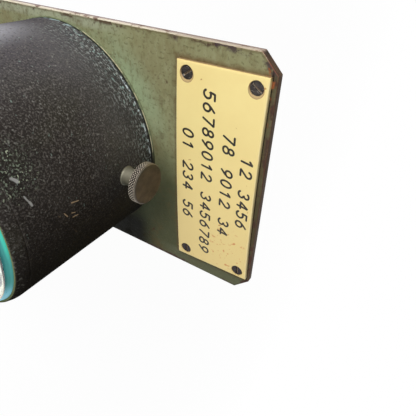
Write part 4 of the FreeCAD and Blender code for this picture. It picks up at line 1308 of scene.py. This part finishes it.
# Magnet: two wound coils on a soft-iron yoke, with pole shoes that reach round the armature.
# The iron is annealed grey with rust freckles, and its screws are darkened steel.
iron, shader, here = new_finish("soft_iron", 0.5, 0.8)
colour = mottled(here, 90.0, 2.6, (84, 82, 82), (124, 122, 120))
freckle = speckled(here, 380.0, 0.62, 0.08)
colour = layer(colour, (112, 72, 48), freckle, 0.6)
feed(shader, "Base Color", colour)
filed = cloud(stretched(here, 6.0, 1.0, 1.0), 420.0, 3.0)
feed(shader, "Roughness", spread(filed, 0.38, 0.62))
bump(shader, filed, 0.03 * MM)
dress(
    iron, "yoke", "left_coil_core", "right_coil_core", "left_pole_shoe", "right_pole_shoe",
    "armature",
)
dress(dark_screw, "pole_screws", "bridge_screws", "base_screws", "block_screws")

enamelled, shader, here = new_finish("enamelled_wire", 0.38, 0.6)
colour = mottled(stretched(here, 1.0, 6.0, 1.0), 110.0, 2.4, (112, 52, 26), (156, 84, 44))
faded = rise(cloud(here, 70.0, 3.0), 0.5, 0.7)
colour = layer(colour, (92, 44, 26), faded, 0.5)
feed(shader, "Base Color", colour)
bump(shader, cloud(here, 2400.0, 2.0), 0.03 * MM)
wire_pitch = 0.8 * MM
wire_valley = 0.14 * MM
bobbin_radius = 6.0 * MM
for side in ("left", "right"):
    low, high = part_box(side + "_winding")
    middle = (low.x + high.x) / 2
    radius = (high.x - low.x) / 2
    length = high.y - low.y
    turns = round(length / wire_pitch)
    along = np.linspace(0, 1, turns * 8 + 1)
    ridge = radius - wire_valley * (1 - np.abs(np.sin(math.pi * turns * along)) ** 0.6)
    depth_line = -high.y + length * along
    foot = (bobbin_radius, -high.y)
    line = np.array([foot, *zip(ridge, depth_line), (bobbin_radius, -low.y), foot])
    turn = np.linspace(0, 2 * math.pi, 73)
    wound = np.stack(
        (middle + line[:, :1] * np.cos(turn), -line[:, 1:] + 0 * turn, line[:, :1] * np.sin(turn)), -1
    )
    add_piece(
        side + "_wire_turns", [wound], 60.0, "base", enamelled, "winding_wire", side + "_winding"
    )

# Terminals and wires: an ebonite block screwed to the base, with brass studs and nuts. Leads
# covered in red cotton run to it from the coils, and a rubber bush lines the cable entry above.
ebonite, shader, here = plain_finish("ebonite", 0.42, 0.0, 120.0, 2.2, (30, 27, 24), (54, 48, 40))
bump(shader, cloud(here, 800.0, 3.0), 0.03 * MM)
dress(ebonite, "terminal_block", "left_coil_bobbin", "right_coil_bobbin")

rubber, shader, here = plain_finish("bush_rubber", 0.8, 0.0, 160.0, 2.0, (34, 32, 31), (64, 60, 56))
bump(shader, cloud(here, 600.0, 4.0), 0.08 * MM)
dress(rubber, "cable_bush")

cotton, shader, here = new_finish("cotton_cover", 0.85)
colour = mottled(here, 300.0, 2.0, (120, 34, 28), (164, 56, 44))
braid = put("TexWave", {"bands_direction": "DIAGONAL"}, Vector=here, Scale=420.0)
colour = layer(colour, (74, 24, 22), braid.outputs[1], 0.35)
feed(shader, "Base Color", colour)
bump(shader, braid.outputs[1], 0.05 * MM)
dress(cotton, "left_coil_lead", "right_coil_lead", "coil_link")
